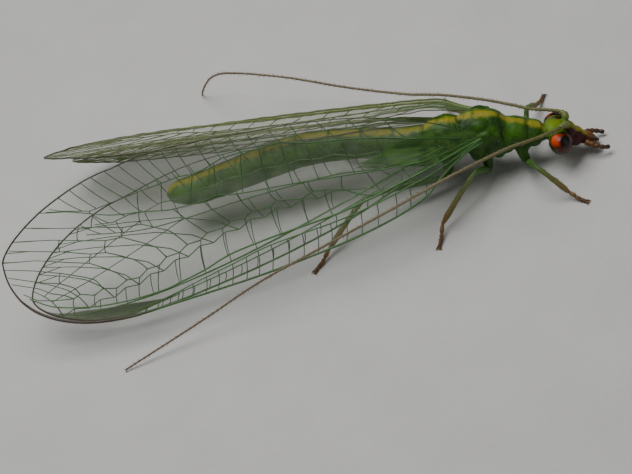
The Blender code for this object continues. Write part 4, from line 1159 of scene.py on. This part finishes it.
# %% Lines of the forewing
FOREWING = {
    "apex": 13.2,
    "turn": 9.8,
    "roundness": (2.3, 1.45),
    "costal": (
        (0.0, -0.16), (0.5, -0.30), (1.1, -0.62), (1.7, -1.05), (2.7, -1.40), (4.2, -1.70), (6.5, -1.98),
        (9.8, -2.20),
    ),
    "hind": (
        (0.0, 0.16), (0.5, 0.36), (1.2, 0.80), (2.2, 1.20), (3.5, 1.52), (5.5, 1.76), (8.3, 1.93),
        (9.8, 1.76),
    ),
    "radius": (
        (0.0, -0.05), (1.0, -0.25), (2.0, -0.48), (3.0, -0.72), (4.0, -0.90), (5.0, -1.00), (6.0, -1.10),
        (7.0, -1.25), (7.7, -1.47), (8.4, -1.63), (9.0, -1.74), (10.0, -1.78), (11.0, -1.70), (12.0, -1.46),
        (12.63, -1.10),
    ),
    "subcosta": (
        (0.1, -0.10), (1.0, -0.40), (2.0, -0.66), (3.0, -0.90), (4.0, -1.07), (5.0, -1.17), (6.0, -1.28),
        (7.0, -1.50), (8.0, -1.72), (9.0, -1.95), (10.0, -2.08),
    ),
    "sector": (
        (2.9, -0.68), (3.34, -0.53), (3.71, -0.30), (4.19, -0.20), (4.48, -0.16), (4.83, -0.28),
        (5.49, -0.16), (5.68, -0.28), (6.19, -0.27), (6.42, -0.39), (6.83, -0.39), (7.05, -0.51),
        (7.49, -0.53), (7.70, -0.68), (8.08, -0.70), (8.32, -0.86), (8.70, -0.89), (8.93, -1.06),
        (9.27, -1.08), (9.52, -1.25), (9.88, -1.23), (10.20, -1.38), (10.57, -1.30), (10.83, -1.42),
        (11.23, -1.30), (11.42, -1.38), (11.95, -1.30), (12.4, -1.20), (12.78, -0.94),
    ),
    "media": (
        (0.2, 0.0), (1.2, -0.12), (2.4, -0.08), (3.65, 0.03), (4.25, 0.09), (4.9, 0.15), (5.65, 0.20),
        (6.48, 0.26), (7.0, 0.36), (7.4, 0.30), (8.23, 0.29), (8.72, 0.36), (9.17, 0.44), (10.0, 0.57),
        (11.0, 0.90), (11.7, 1.07),
    ),
    "cubitus": (
        (0.3, 0.06), (1.2, 0.38), (2.4, 0.74), (3.4, 0.95), (4.38, 1.10), (5.04, 1.31), (5.64, 1.27),
        (6.13, 1.31), (6.68, 1.28), (7.2, 1.12), (7.53, 1.06), (7.89, 1.10), (8.4, 1.04), (9.1, 0.97),
        (10.5, 0.80), (11.3, 1.0), (11.6, 1.12),
    ),
    "costal_feet": (
        1.0, 1.3, 1.55, 2.0, 2.4, 2.92, 3.38, 3.8, 4.22, 4.6, 5.0, 5.42, 5.87, 6.25, 6.6, 7.0, 7.4, 7.75,
        8.15, 8.45, 8.8, 9.15, 9.5,
    ),
    "radial_feet": (
        (4.19, 4.1), (4.83, 4.74), (5.68, 5.55), (6.42, 6.3), (7.05, 7.05), (7.70, 7.72), (8.32, 8.42),
        (8.93, 9.08), (9.52, 9.62), (10.20, 10.25), (10.83, 10.85), (11.42, 11.45),
    ),
    "branches": (
        ((8.08, -0.70), (8.27, -0.45), (8.46, -0.24), (8.72, -0.11), (9.18, 0.12), (9.7, 0.155),
         (10.4, 0.34), (11.4, 0.55), (12.2, 0.76)),
        ((8.70, -0.89), (8.91, -0.58), (9.18, -0.41), (9.78, -0.09), (10.24, -0.07), (10.78, 0.06),
         (11.7, 0.30), (12.65, 0.49)),
        ((9.27, -1.08), (9.37, -0.94), (9.59, -0.74), (9.9, -0.57), (10.31, -0.375), (10.72, -0.32),
         (11.5, -0.07), (12.0, 0.06), (12.95, 0.30)),
        ((9.88, -1.23), (10.1, -1.0), (10.36, -0.81), (10.81, -0.55), (11.38, -0.39), (12.25, -0.13),
         (13.18, 0.02)),
        ((10.57, -1.30), (10.74, -1.02), (11.0, -0.89), (11.66, -0.62), (12.4, -0.375), (13.17, -0.17)),
        ((11.23, -1.30), (11.34, -1.1), (11.72, -0.89), (12.25, -0.74), (13.12, -0.40)),
        ((11.42, -1.38), (11.65, -1.23), (12.0, -1.1), (12.32, -0.89), (13.05, -0.60)),
    ),
    "bridges": (
        ("sector", 4.48, "media", 4.55), ("sector", 5.49, "media", 5.65), ("sector", 6.19, "media", 6.48),
        ("sector", 6.83, "media", 7.4), ("sector", 7.49, "media", 8.23),
        ("media", 9.17, "branch_0", 9.18), ("branch_0", 9.7, "branch_1", 9.78),
        ("branch_1", 10.24, "branch_2", 10.31), ("branch_2", 10.72, "branch_3", 10.81),
        ("branch_4", 11.66, "branch_5", 11.72), ("media", 10.4, "branch_0", 10.55),
        ("branch_0", 10.9, "branch_1", 11.0), ("branch_1", 11.5, "branch_2", 11.55),
        ("cubitus", 9.1, "media", 9.17), ("cubitus", 10.5, "media", 10.45),
        ("media", 2.4, "cubitus", 2.55), ("media", 3.3, "cubitus", 3.45), ("media", 4.25, "cubitus", 4.38),
        ("media", 4.95, "cubitus", 5.04), ("media", 5.6, "cubitus", 5.64), ("media", 6.3, "cubitus", 6.13),
        ("media", 7.0, "cubitus", 6.9), ("media", 7.75, "cubitus", 7.53), ("media", 8.55, "cubitus", 8.4),
        ("radius", 1.9, "media", 2.1), ("radius", 2.7, "media", 3.0), ("sector", 3.71, "media", 3.65),
        ("hind", 2.3, "cubitus", 1.8), ("hind", 3.2, "cubitus", 2.7), ("hind", 4.0, "cubitus", 3.5),
        ("hind", 4.7, "cubitus", 4.38), ("hind", 5.3, "cubitus", 5.04), ("hind", 5.88, "cubitus", 5.64),
        ("hind", 6.38, "cubitus", 6.13), ("hind", 6.88, "cubitus", 6.68), ("hind", 7.3, "cubitus", 7.0),
        ("hind", 7.85, "cubitus", 7.53), ("hind", 8.25, "cubitus", 7.89), ("hind", 8.72, "cubitus", 8.15),
        ("hind", 9.02, "cubitus", 8.4), ("hind", 9.48, "cubitus", 8.75), ("hind", 9.9, "cubitus", 9.1),
        ("hind", 10.3, "cubitus", 9.5), ("hind", 10.6, "cubitus", 9.9), ("hind", 10.95, "cubitus", 10.3),
        ("hind", 11.3, "cubitus", 10.7), ("hind", 11.9, "media", 11.2), ("hind", 12.4, "branch_0", 11.6),
        ("hind", 12.8, "branch_1", 12.1), ("hind", 13.05, "branch_2", 12.4),
        ("hind", 13.19, "branch_3", 12.6),
    ),
}


def margin(points, turn, apex, power):
    """A wing's edge: a smooth line to the turn, then a rounded end to the apex."""
    dense = smooth_path(points, 0.05)

    def edge(u):
        u = np.asarray(u, float)
        share = np.clip((u - turn) / (apex - turn), 0, 1)
        flat = np.interp(np.minimum(u, turn), dense[:, 0], dense[:, 1])
        return flat * (1 - share ** power) ** (1 / power)

    return edge


def vein_line(points, angular=False):
    """The height v of a long vein at any u along it."""
    dense = np.array(points) if angular else smooth_path(points, 0.05)
    return lambda u: np.interp(u, dense[:, 0], dense[:, 1])


class Wing:
    """The lines of one kind of wing, and how high its surface stands at any place."""

    def __init__(self, lines):
        self.lines = lines
        self.apex = lines["apex"]
        self.curves = {}
        self.spans = {}
        for name, power in zip(("costal", "hind"), lines["roundness"]):
            self.curves[name] = margin(lines[name], lines["turn"], self.apex, power)
        for name in ("radius", "subcosta", "sector", "media", "cubitus"):
            self.keep(name, lines[name], name in ("sector", "cubitus"))
        for index, points in enumerate(lines["branches"]):
            self.keep("branch_" + str(index), points, True)

    def keep(self, name, points, angular):
        """Remember a long vein and where it starts and ends."""
        self.curves[name] = vein_line(points, angular)
        self.spans[name] = (points[0][0], points[-1][0])

    def relief(self, u, v):
        """The fluting of the wing, which is what makes so thin a skin stiff."""
        radius = self.curves["radius"](u)
        media = self.curves["media"](u)
        cubitus = self.curves["cubitus"](u)
        field = (self.curves["costal"](u) + radius) / 2
        height = 0.055 * hill(v, radius, 0.16) - 0.040 * hill(v, field, 0.22)
        height = height - 0.035 * hill(v, (radius + media) / 2, 0.30)
        height = height + 0.035 * hill(v, media, 0.20) - 0.03 * hill(v, (media + cubitus) / 2, 0.2)
        height = height + 0.030 * hill(v, cubitus, 0.2)
        pucker = 0.010 * np.sin(u * 9.0 + v * 3.0) * np.sin(v * 8.0 - u * 2.0)
        return (height + pucker) * ease(u, 0.4, 1.8) * (1 - 0.6 * ease(u, self.apex - 3, self.apex))


forewing = Wing(FOREWING)
print("forewing lines:", len(forewing.curves), "bridges:", len(FOREWING["bridges"]))

# %% [markdown]
# The hindwing is a little shorter, with a narrower front strip. Only parts of it show in the photo,
# so its net follows the rules of the family: a front ladder, a ladder between the two stout veins,
# curved branches to the tip, two stepped rows across them, and short cells along the hind edge.

# %% Lines of the hindwing
HIND_SECTOR = (
    (1.8, -0.25), (3.2, -0.02), (4.6, 0.02), (5.8, -0.08), (7.0, -0.26), (8.4, -0.50), (9.8, -0.66),
    (11.2, -0.62),
)
HIND_MEDIA = (
    (0.2, 0.02), (1.4, 0.10), (2.6, 0.36), (4.0, 0.50), (5.4, 0.60), (6.9, 0.66), (8.2, 0.80), (9.6, 1.18),
)
HIND_CUBITUS = ((0.3, 0.08), (1.5, 0.52), (3.0, 0.96), (5.0, 1.22), (7.0, 1.26), (8.4, 1.26), (9.3, 1.33))
HIND_COSTAL = (
    (0.0, -0.15), (0.6, -0.32), (1.5, -0.60), (3.0, -0.94), (5.0, -1.20), (7.0, -1.33), (8.4, -1.36),
)
HIND_RADIUS = (
    (0.0, -0.03), (1.0, -0.12), (2.5, -0.38), (4.5, -0.68), (6.5, -0.90), (8.4, -0.98), (10.2, -0.86),
    (11.0, -0.60),
)
HIND_SUBCOSTA = (
    (0.1, -0.08), (1.0, -0.25), (2.5, -0.54), (4.5, -0.86), (6.5, -1.08), (8.4, -1.20), (8.9, -1.26),
)
SECTOR_FEET = 11
HIND_BRANCHES = 8
KINK = 0.055


def kinked(points, feet, kink):
    """A long vein that zigzags between the feet of crossveins on one side and the other."""
    line = vein_line(points)
    return tuple((u, float(line(u)) + kink * (1 if index % 2 else -1)) for index, u in enumerate(feet))


def hindwing_lines():
    """The lines of a hindwing, worked out by rule."""
    apex = 11.6
    hind = ((0.0, 0.15), (0.6, 0.45), (1.6, 1.00), (3.2, 1.56), (5.0, 1.90), (6.6, 1.99), (8.4, 1.78))
    edge = margin(hind, 8.4, apex, 1.6)
    sector_feet = [1.8] + list(np.linspace(2.9, 10.9, SECTOR_FEET * 2)) + [11.2]
    sector = kinked(HIND_SECTOR, sector_feet, KINK)
    radial_feet = tuple((u, u + 0.06) for u in sector_feet[1:-1:2])
    starts = sector_feet[8:-1:2][:HIND_BRANCHES]
    tips = np.linspace(0, 1, len(starts)) ** 0.6 * (11.52 - 9.9) + 9.9
    branches = []
    for start, tip in zip(starts, tips):
        top = float(np.interp(start, *zip(*sector)))
        end = float(edge(tip))
        rise = (0.0, 0.28, 0.56, 0.80, 1.0)
        branches.append(tuple(
            (start + (tip - start) * part, top + (end - top) * lift)
            for part, lift in zip((0.0, 0.12, 0.34, 0.66, 1.0), rise)
        ))
    bridges = []
    for first in range(len(branches) - 1):
        for part in (0.30, 0.58):
            a, b = (line[0][0] + (line[-1][0] - line[0][0]) * part for line in branches[first:first + 2])
            bridges.append(("branch_" + str(first), a, "branch_" + str(first + 1), b))
    stem_feet = sector_feet[2:8:2]
    bridges += [("sector", u, "media", u + 0.25) for u in stem_feet]
    bridges += [("radius", 1.3, "media", 1.5)]
    bridges += [("media", u, "cubitus", u + 0.1) for u in np.linspace(1.9, 8.6, 9)]
    bridges += [("hind", u + 0.36, "cubitus", u) for u in np.linspace(1.6, 8.9, 16)]
    bridges += [("hind", u + 0.5, "media", u) for u in (8.8, 9.2)]
    for index, tip in enumerate(tips[:-2]):
        bridges.append(("hind", tip + 0.17, "branch_" + str(index), tip - 0.5))
    cubitus_feet = (0.3,) + tuple(np.linspace(1.5, 9.3, 17))
    return {
        "apex": apex, "turn": 8.4, "roundness": (1.7, 1.6),
        "costal": HIND_COSTAL, "hind": hind, "radius": HIND_RADIUS, "subcosta": HIND_SUBCOSTA,
        "sector": sector, "media": HIND_MEDIA, "cubitus": kinked(HIND_CUBITUS, cubitus_feet, KINK * 0.6),
        "costal_feet": tuple(np.linspace(1.1, 8.6, 17)), "radial_feet": radial_feet,
        "branches": tuple(branches), "bridges": tuple(bridges),
    }


hindwing = Wing(hindwing_lines())
print("hindwing bridges:", len(hindwing.lines["bridges"]))

# %% [markdown]
# A resting lacewing holds its four wings like a steep roof over the back. Each wing's plane has a root,
# a sweep, a slope and a pitch, the same named values as in the solids. Near the root the plane bends
# in to meet the thorax, so the place of every point is worked out by one function.

# %% Where the wings lie
FOREWING_POSE = {
    RIGHT: {"root": (5.05, 1.25, 2.08), "sweep": 5.4, "slope": 40.0, "pitch": -0.5},
    LEFT: {"root": (5.20, 1.00, 1.86), "sweep": 5.4, "slope": 32.5, "pitch": -0.5},
}
WING_LAYER_STEP = 0.64
HINDWING_SHIFT = 1.25
HINDWING_TURN = 5.9
HINDWING_RAISE = 0.12
ROOT_RUN = 1.7
FOREWING_JOINT = (4.98, 0.56, 1.68)
HINDWING_JOINT = (4.00, 0.52, 1.60)
FOREWING_LEVEL = {RIGHT: 0.14, LEFT: -0.16}
HINDWING_LEVEL = {RIGHT: 0.17, LEFT: 0.17}


def wing_placer(side, pose, layer, shift, turn, raise_v, joint, level):
    """A function from a wing's own u, v, w to the insect's place, bent near the root."""
    sweep, slope, pitch = (math.radians(pose[name]) for name in ("sweep", "slope", "pitch"))
    flat = math.cos(pitch)
    apexwards = Vector((-math.cos(sweep) * flat, side * math.sin(sweep) * flat, -math.sin(pitch)))
    inwards = Vector((0.0, -side * math.cos(slope), math.sin(slope)))
    inwards = (inwards - apexwards * inwards.dot(apexwards)).normalized()
    outwards = apexwards.cross(inwards) * side
    lean = math.radians(turn)
    own_u = apexwards * math.cos(lean) - inwards * math.sin(lean)
    own_v = inwards * math.cos(lean) + apexwards * math.sin(lean)
    x, y, z = pose["root"]
    origin = Vector((x, side * y, z)) + apexwards * shift + inwards * raise_v - outwards * (layer - level)
    pull = np.array(Vector((joint[0], side * joint[1], joint[2])) - origin)
    own_u, own_v, outwards, origin = (np.array(way) for way in (own_u, own_v, outwards, origin))

    def place(u, v, w):
        u, v, w = (np.asarray(value, float)[..., None] for value in np.broadcast_arrays(u, v, w))
        held = 1 - ease(u, 0.0, ROOT_RUN)
        return origin + own_u * u + own_v * v + outwards * w + pull * held

    return place


def forewing_place(side):
    """Where a forewing's points lie."""
    return wing_placer(side, FOREWING_POSE[side], 0.0, 0.0, 0.0, 0.0, FOREWING_JOINT, FOREWING_LEVEL[side])


def hindwing_place(side):
    """Where a hindwing's points lie, under the forewing of the same side."""
    return wing_placer(
        side, FOREWING_POSE[side], WING_LAYER_STEP, HINDWING_SHIFT, HINDWING_TURN, HINDWING_RAISE,
        HINDWING_JOINT, HINDWING_LEVEL[side],
    )


print("forewing tip on the right:", forewing_place(RIGHT)(13.2, 0.0, 0.0).round(2))

# %% [markdown]
# The clear skin is one closed sheet: a top and a bottom grid between the two edges, a hundredth of a
# millimetre apart, sewn together round the rim. Its rows crowd together towards the round tip.

# %% Wing membranes
MEMBRANE_THICKNESS = 0.012
MEMBRANE_ROWS = 220
MEMBRANE_COLUMNS = 44


def thin_sheet(wing, place, u, front, back, thickness, columns):
    """A thin closed sheet that follows the wing's fluting between two lines."""
    across = np.linspace(0, 1, columns)
    rows = len(u)
    v = front[:, None] + (back - front)[:, None] * across[None, :]
    u = np.repeat(u[:, None], columns, axis=1)
    height = wing.relief(u, v)
    layers = [place(u, v, height + half * thickness / 2).reshape(-1, 3) for half in (1, -1)]
    size = rows * columns
    grid = np.arange(size).reshape(rows, columns)
    corners = np.stack([grid[:-1, :-1], grid[1:, :-1], grid[1:, 1:], grid[:-1, 1:]], axis=-1).reshape(-1, 4)
    faces = [tuple(face) for face in corners.tolist()]
    faces += [tuple(face[::-1]) for face in (corners + size).tolist()]
    rim = list(grid[0, :-1]) + list(grid[:-1, -1]) + list(grid[-1, :0:-1]) + list(grid[:0:-1, 0])
    for first, second in zip(rim, rim[1:] + rim[:1]):
        faces.append((int(first), int(second), int(second + size), int(first + size)))
    shape = Shape()
    shape.add(np.concatenate(layers), faces)
    return shape


def membrane(wing, place):
    """The clear skin of a whole wing."""
    share = np.linspace(0, 1, MEMBRANE_ROWS)
    u = wing.apex * np.sin(share * math.pi / 2) ** 0.9 * 0.99995
    front = wing.curves["costal"](u)
    back = wing.curves["hind"](u)
    return thin_sheet(wing, place, u, front, back, MEMBRANE_THICKNESS, MEMBRANE_COLUMNS)


def face_outwards(mesh):
    """Turn every face of a closed mesh to point out."""
    shell = bmesh.new()
    shell.from_mesh(mesh)
    bmesh.ops.recalc_face_normals(shell, faces=shell.faces)
    shell.to_mesh(mesh)
    shell.free()
    return mesh


def membrane_material(name, alpha, tint, haze):
    """Clear skin with a faint tint and a soft uneven gloss."""
    material, shader = new_material(name, 0.2, 0.7)
    place = millimetres(material)
    cloud = grain(material, place, 1.2, 3.0)
    surface(material, shader, mix(material, cloud, tint, haze), grain(material, place, 5.0, 3.0), 0.2, 0.4)
    shader.inputs["Alpha"].default_value = alpha
    waves = grain(material, place, 3.0, 3.0)
    bump(material, shader, ((waves, 0.007), (grain(material, place, 18.0, 2.0), 0.002)))
    return material


clear_skins = {
    "right": (
        membrane_material("forewing_membrane_right", 0.065, colour(120, 140, 104), colour(158, 166, 142)),
        membrane_material("hindwing_membrane_right", 0.055, colour(110, 134, 92), colour(158, 166, 142)),
    ),
    # The left pair's stronger olive tint and lower clearness are a painted reflection, as a clear skin seen
    # at a steep slant reflects its green surroundings.
    "left": (
        membrane_material("forewing_membrane_left", 0.24, colour(116, 122, 64), colour(140, 146, 104)),
        membrane_material("hindwing_membrane_left", 0.18, colour(110, 120, 60), colour(136, 142, 100)),
    ),
}
for label, side in SIDES.items():
    fore_clear, hind_clear = clear_skins[label]
    sheet = face_outwards(membrane(forewing, forewing_place(side)).mesh("forewing_" + label))
    make_piece("forewing_membrane_" + label, sheet, fore_clear, ["forewing_" + label])
    sheet = face_outwards(membrane(hindwing, hindwing_place(side)).mesh("hindwing_" + label))
    make_piece("hindwing_membrane_" + label, sheet, hind_clear, ["hindwing_" + label])

# %% [markdown]
# The veins are tubes laid along the lines. Stout veins taper towards the tip, and crossveins are
# half as thick, bowed a little, darker, and end exactly on the veins that they join.
# A painted value says how dark a vein is, and another turns the edges brown towards the tip.

# %% Wing veins
LONG_VEIN = 0.0185
CROSS_VEIN = 0.0128
VEIN_STEP = 0.07
VEIN_SIDES = 6


def add_vein(shape, wing, place, us, vs, radii, dark, brown=0.0):
    """A tube along a line on the wing."""
    route = place(us, vs, wing.relief(us, vs))
    points, faces = tube(route, radii, VEIN_SIDES)
    row = np.broadcast_to(brown, (len(route),))
    shape.add(points, faces, dark=dark, brown=np.append(np.repeat(row, VEIN_SIDES), (row[0], row[-1])))


def long_vein(shape, wing, place, name, start, end, radii, dark):
    """A tube along a named line from one u to another."""
    us = np.linspace(start, end, max(4, int((end - start) / VEIN_STEP)))
    vs = wing.curves[name](us)
    girth = np.interp(us, (start, end), radii)
    add_vein(shape, wing, place, us, vs, girth, dark)


def cross_vein(shape, wing, place, first, second, radius, dark, bow=0.03):
    """A tube between two places on two lines."""
    (name_a, u_a), (name_b, u_b) = first, second
    v_a, v_b = (float(wing.curves[name](u)) for name, u in (first, second))
    count = max(5, int(math.hypot(u_b - u_a, v_b - v_a) / VEIN_STEP) + 1)
    share = np.linspace(0, 1, count)
    us = u_a + (u_b - u_a) * share + bow * np.sin(share * math.pi)
    vs = v_a + (v_b - v_a) * share
    add_vein(shape, wing, place, us, vs, radius, dark)


def wing_veins(wing, place):
    """The whole net of one wing."""
    shape = Shape()
    lines = wing.lines
    apex = wing.apex
    share = np.linspace(0, 1, 190)
    edge_u = apex * np.sin(share * math.pi / 2) ** 0.9 * 0.99995
    for name, radius, dark in (("costal", 0.030, 0.35), ("hind", 0.015, 0.6)):
        tipwards = ease(edge_u, apex * 0.66, apex * 0.8)
        brown = tipwards if name == "costal" else 0.3 + 0.5 * ease(edge_u, apex * 0.1, apex * 0.6)
        if name == "costal":
            stout = 0.55 * ease(edge_u, apex * 0.66, apex * 0.78) * (1 - ease(edge_u, apex * 0.95, apex))
        else:
            stout = 0.80 * ease(edge_u, apex * 0.5, apex * 0.98)
        girth = radius * (1 - 0.25 * ease(edge_u, apex * 0.5, apex) + stout)
        add_vein(shape, wing, place, edge_u, wing.curves[name](edge_u), girth, dark, brown)
    ends = [float(wing.curves[name](edge_u[-1])) for name in ("costal", "hind")]
    add_vein(shape, wing, place, np.full(8, edge_u[-1]), np.linspace(*ends, 8), 0.023, 0.5, 0.9)
    for name, radii, dark in (
        ("radius", (0.034, 0.018), 0.0), ("subcosta", (0.024, 0.014), 0.05), ("sector", (0.018, 0.013), 0.45),
        ("media", (0.023, 0.013), 0.35), ("cubitus", (0.023, 0.012), 0.4),
    ):
        long_vein(shape, wing, place, name, *wing.spans[name], radii, dark)
    for index in range(len(lines["branches"])):
        name = "branch_" + str(index)
        long_vein(shape, wing, place, name, *wing.spans[name], (LONG_VEIN * 0.9, CROSS_VEIN * 0.8), 0.5)
    for u in lines["costal_feet"]:
        cross_vein(shape, wing, place, ("subcosta", u), ("costal", u + 0.10), CROSS_VEIN, 0.9, -0.02)
    for low, high in lines["radial_feet"]:
        cross_vein(shape, wing, place, ("sector", low), ("radius", high), CROSS_VEIN, 0.8)
    for name_a, u_a, name_b, u_b in lines["bridges"]:
        cross_vein(shape, wing, place, (name_a, u_a), (name_b, u_b), CROSS_VEIN, 0.75)
    return shape


def vein_material(name, near, far):
    """Green veins, darker where they cross, brown along the edges near the tip."""
    material, shader = new_material(name, 0.4)
    place = millimetres(material)
    fine = grain(material, place, 16.0, 3.0)
    green = mix(material, remap(material, fine, 0.35, 0.7, 0, 1), near, far)
    tone = mix(material, remap(material, painted(material, "dark"), 0, 1, 0, 0.85), green, colour(26, 56, 24))
    tone = mix(material, painted(material, "brown"), tone, colour(70, 54, 38))
    surface(material, shader, tone, fine, 0.3, 0.5)
    bump(material, shader, ((fine, 0.004), (grain(material, place, 60.0, 2.0), 0.002)))
    return material


def add_fringe(shape, wing, place, name, spacing, reach, away):
    """Short hairs that stand on a wing's edge and lean towards the tip."""
    us = np.arange(0.6, wing.apex * 0.985, spacing)
    vs = wing.curves[name](us)
    roots = place(us, vs, wing.relief(us, vs))
    ahead = place(us + 0.05, vs + away * 0.06, wing.relief(us, vs)) - roots
    reaches = reach * (0.75 + 0.5 * hair_dice.random(len(us)))
    add_hairs(shape, roots, ahead, reaches, 0.0032, dark=0.5, brown=0.6)


vein_tones = {
    "right": vein_material("vein_green", colour(58, 108, 42), colour(88, 134, 68)),
    # The left veins are a paler olive: a painted reflection, like the tint of the left clear skins.
    "left": vein_material("vein_olive_painted_reflection", colour(100, 124, 52), colour(130, 142, 84)),
}
for label, side in SIDES.items():
    pairs = (("forewing", forewing, forewing_place(side)), ("hindwing", hindwing, hindwing_place(side)))
    for kind, wing, place in pairs:
        net = wing_veins(wing, place)
        add_fringe(net, wing, place, "hind", 0.04, 0.085, 1)
        add_fringe(net, wing, place, "costal", 0.06, 0.060, -1)
        name = kind + "_veins_" + label
        make_piece(name, net.mesh(name), vein_tones[label])

# %% [markdown]
# Near the tip of each forewing, between its front edge and the stout vein behind it, lies the wing
# spot: a strip of thicker, milky skin that weights the wing. It is a sheet of its own, a little
# thicker than the clear skin, because it hides what is under it.

# %% Wing spots
SPOT_START = 8.55
SPOT_END = 12.35
SPOT_THICKNESS = 0.03


def wing_spot(wing, place):
    """The milky strip between the front edge and the radius."""
    u = np.linspace(SPOT_START, SPOT_END, 70)
    front = wing.curves["costal"](u)
    back = wing.curves["radius"](u)
    ends = (1 - ease(u, SPOT_START, SPOT_START + 1.6)) * 0.34 + ease(u, SPOT_END - 1.4, SPOT_END) * 0.34
    gap = back - front
    front = front + gap * (0.10 + ends * 0.9)
    return thin_sheet(wing, place, u, front, back - gap * (0.18 + ends * 1.1), SPOT_THICKNESS, 8)


def spot_material():
    """Milky green skin with a faint mottle."""
    material, shader = new_material("wing_spot", 0.45)
    place = millimetres(material)
    mottle = grain(material, place, 7.0, 3.0, stretch=(0.5, 1.0, 1.0))
    tone = mix(material, mottle, colour(92, 112, 70), colour(120, 136, 98))
    surface(material, shader, tone, mottle, 0.35, 0.55)
    shader.inputs["Alpha"].default_value = 0.30
    bump(material, shader, ((mottle, 0.006), (grain(material, place, 40.0, 2.0), 0.002)))
    return material


milky = spot_material()
for label, side in SIDES.items():
    spot = face_outwards(wing_spot(forewing, forewing_place(side)).mesh("wing_spot_" + label))
    make_piece("wing_spot_" + label, spot, milky)

# %% [markdown]
# Where a wing meets the thorax its skin is thick, green and folded, so the body under it hardly shows.
# It is one more sheet on the same lines, like a leaf: it fills the wing's root and narrows to a point
# along the middle veins, so that its end is lost among them.

# %% Wing roots
ROOT_START = 0.12
ROOT_THICKNESS = 0.022


def wing_root(wing, place, reach):
    """The green folded skin at the root of a wing."""
    u = np.linspace(ROOT_START, reach, 60)
    narrow = ease(u, reach * 0.05, reach) * 0.5
    front = wing.curves["subcosta"](u)
    back = wing.curves["hind"](u) * 0.96
    gap = back - front
    return thin_sheet(wing, place, u, front + gap * narrow, back - gap * narrow, ROOT_THICKNESS, 24)


def root_material():
    """Green folded skin that lets a little light through."""
    material, shader = new_material("wing_root", 0.5, 0.3)
    place = millimetres(material)
    folds = grain(material, place, 3.0, 4.0, stretch=(0.5, 2.4, 2.4))
    tone = mix(material, remap(material, folds, 0.35, 0.65, 0, 1), colour(34, 76, 20), colour(86, 128, 50))
    surface(material, shader, tone, folds, 0.4, 0.6)
    shader.inputs["Alpha"].default_value = 0.42
    bump(material, shader, ((folds, 0.03), (grain(material, place, 30.0, 2.0), 0.003)))
    return material


root_green = root_material()
for label, side in SIDES.items():
    for kind, wing, place, reach in (
        ("forewing", forewing, forewing_place(side), 3.3), ("hindwing", hindwing, hindwing_place(side), 2.2),
    ):
        sheet = face_outwards(wing_root(wing, place, reach).mesh(kind + "_root_" + label))
        make_piece(kind + "_root_" + label, sheet, root_green)
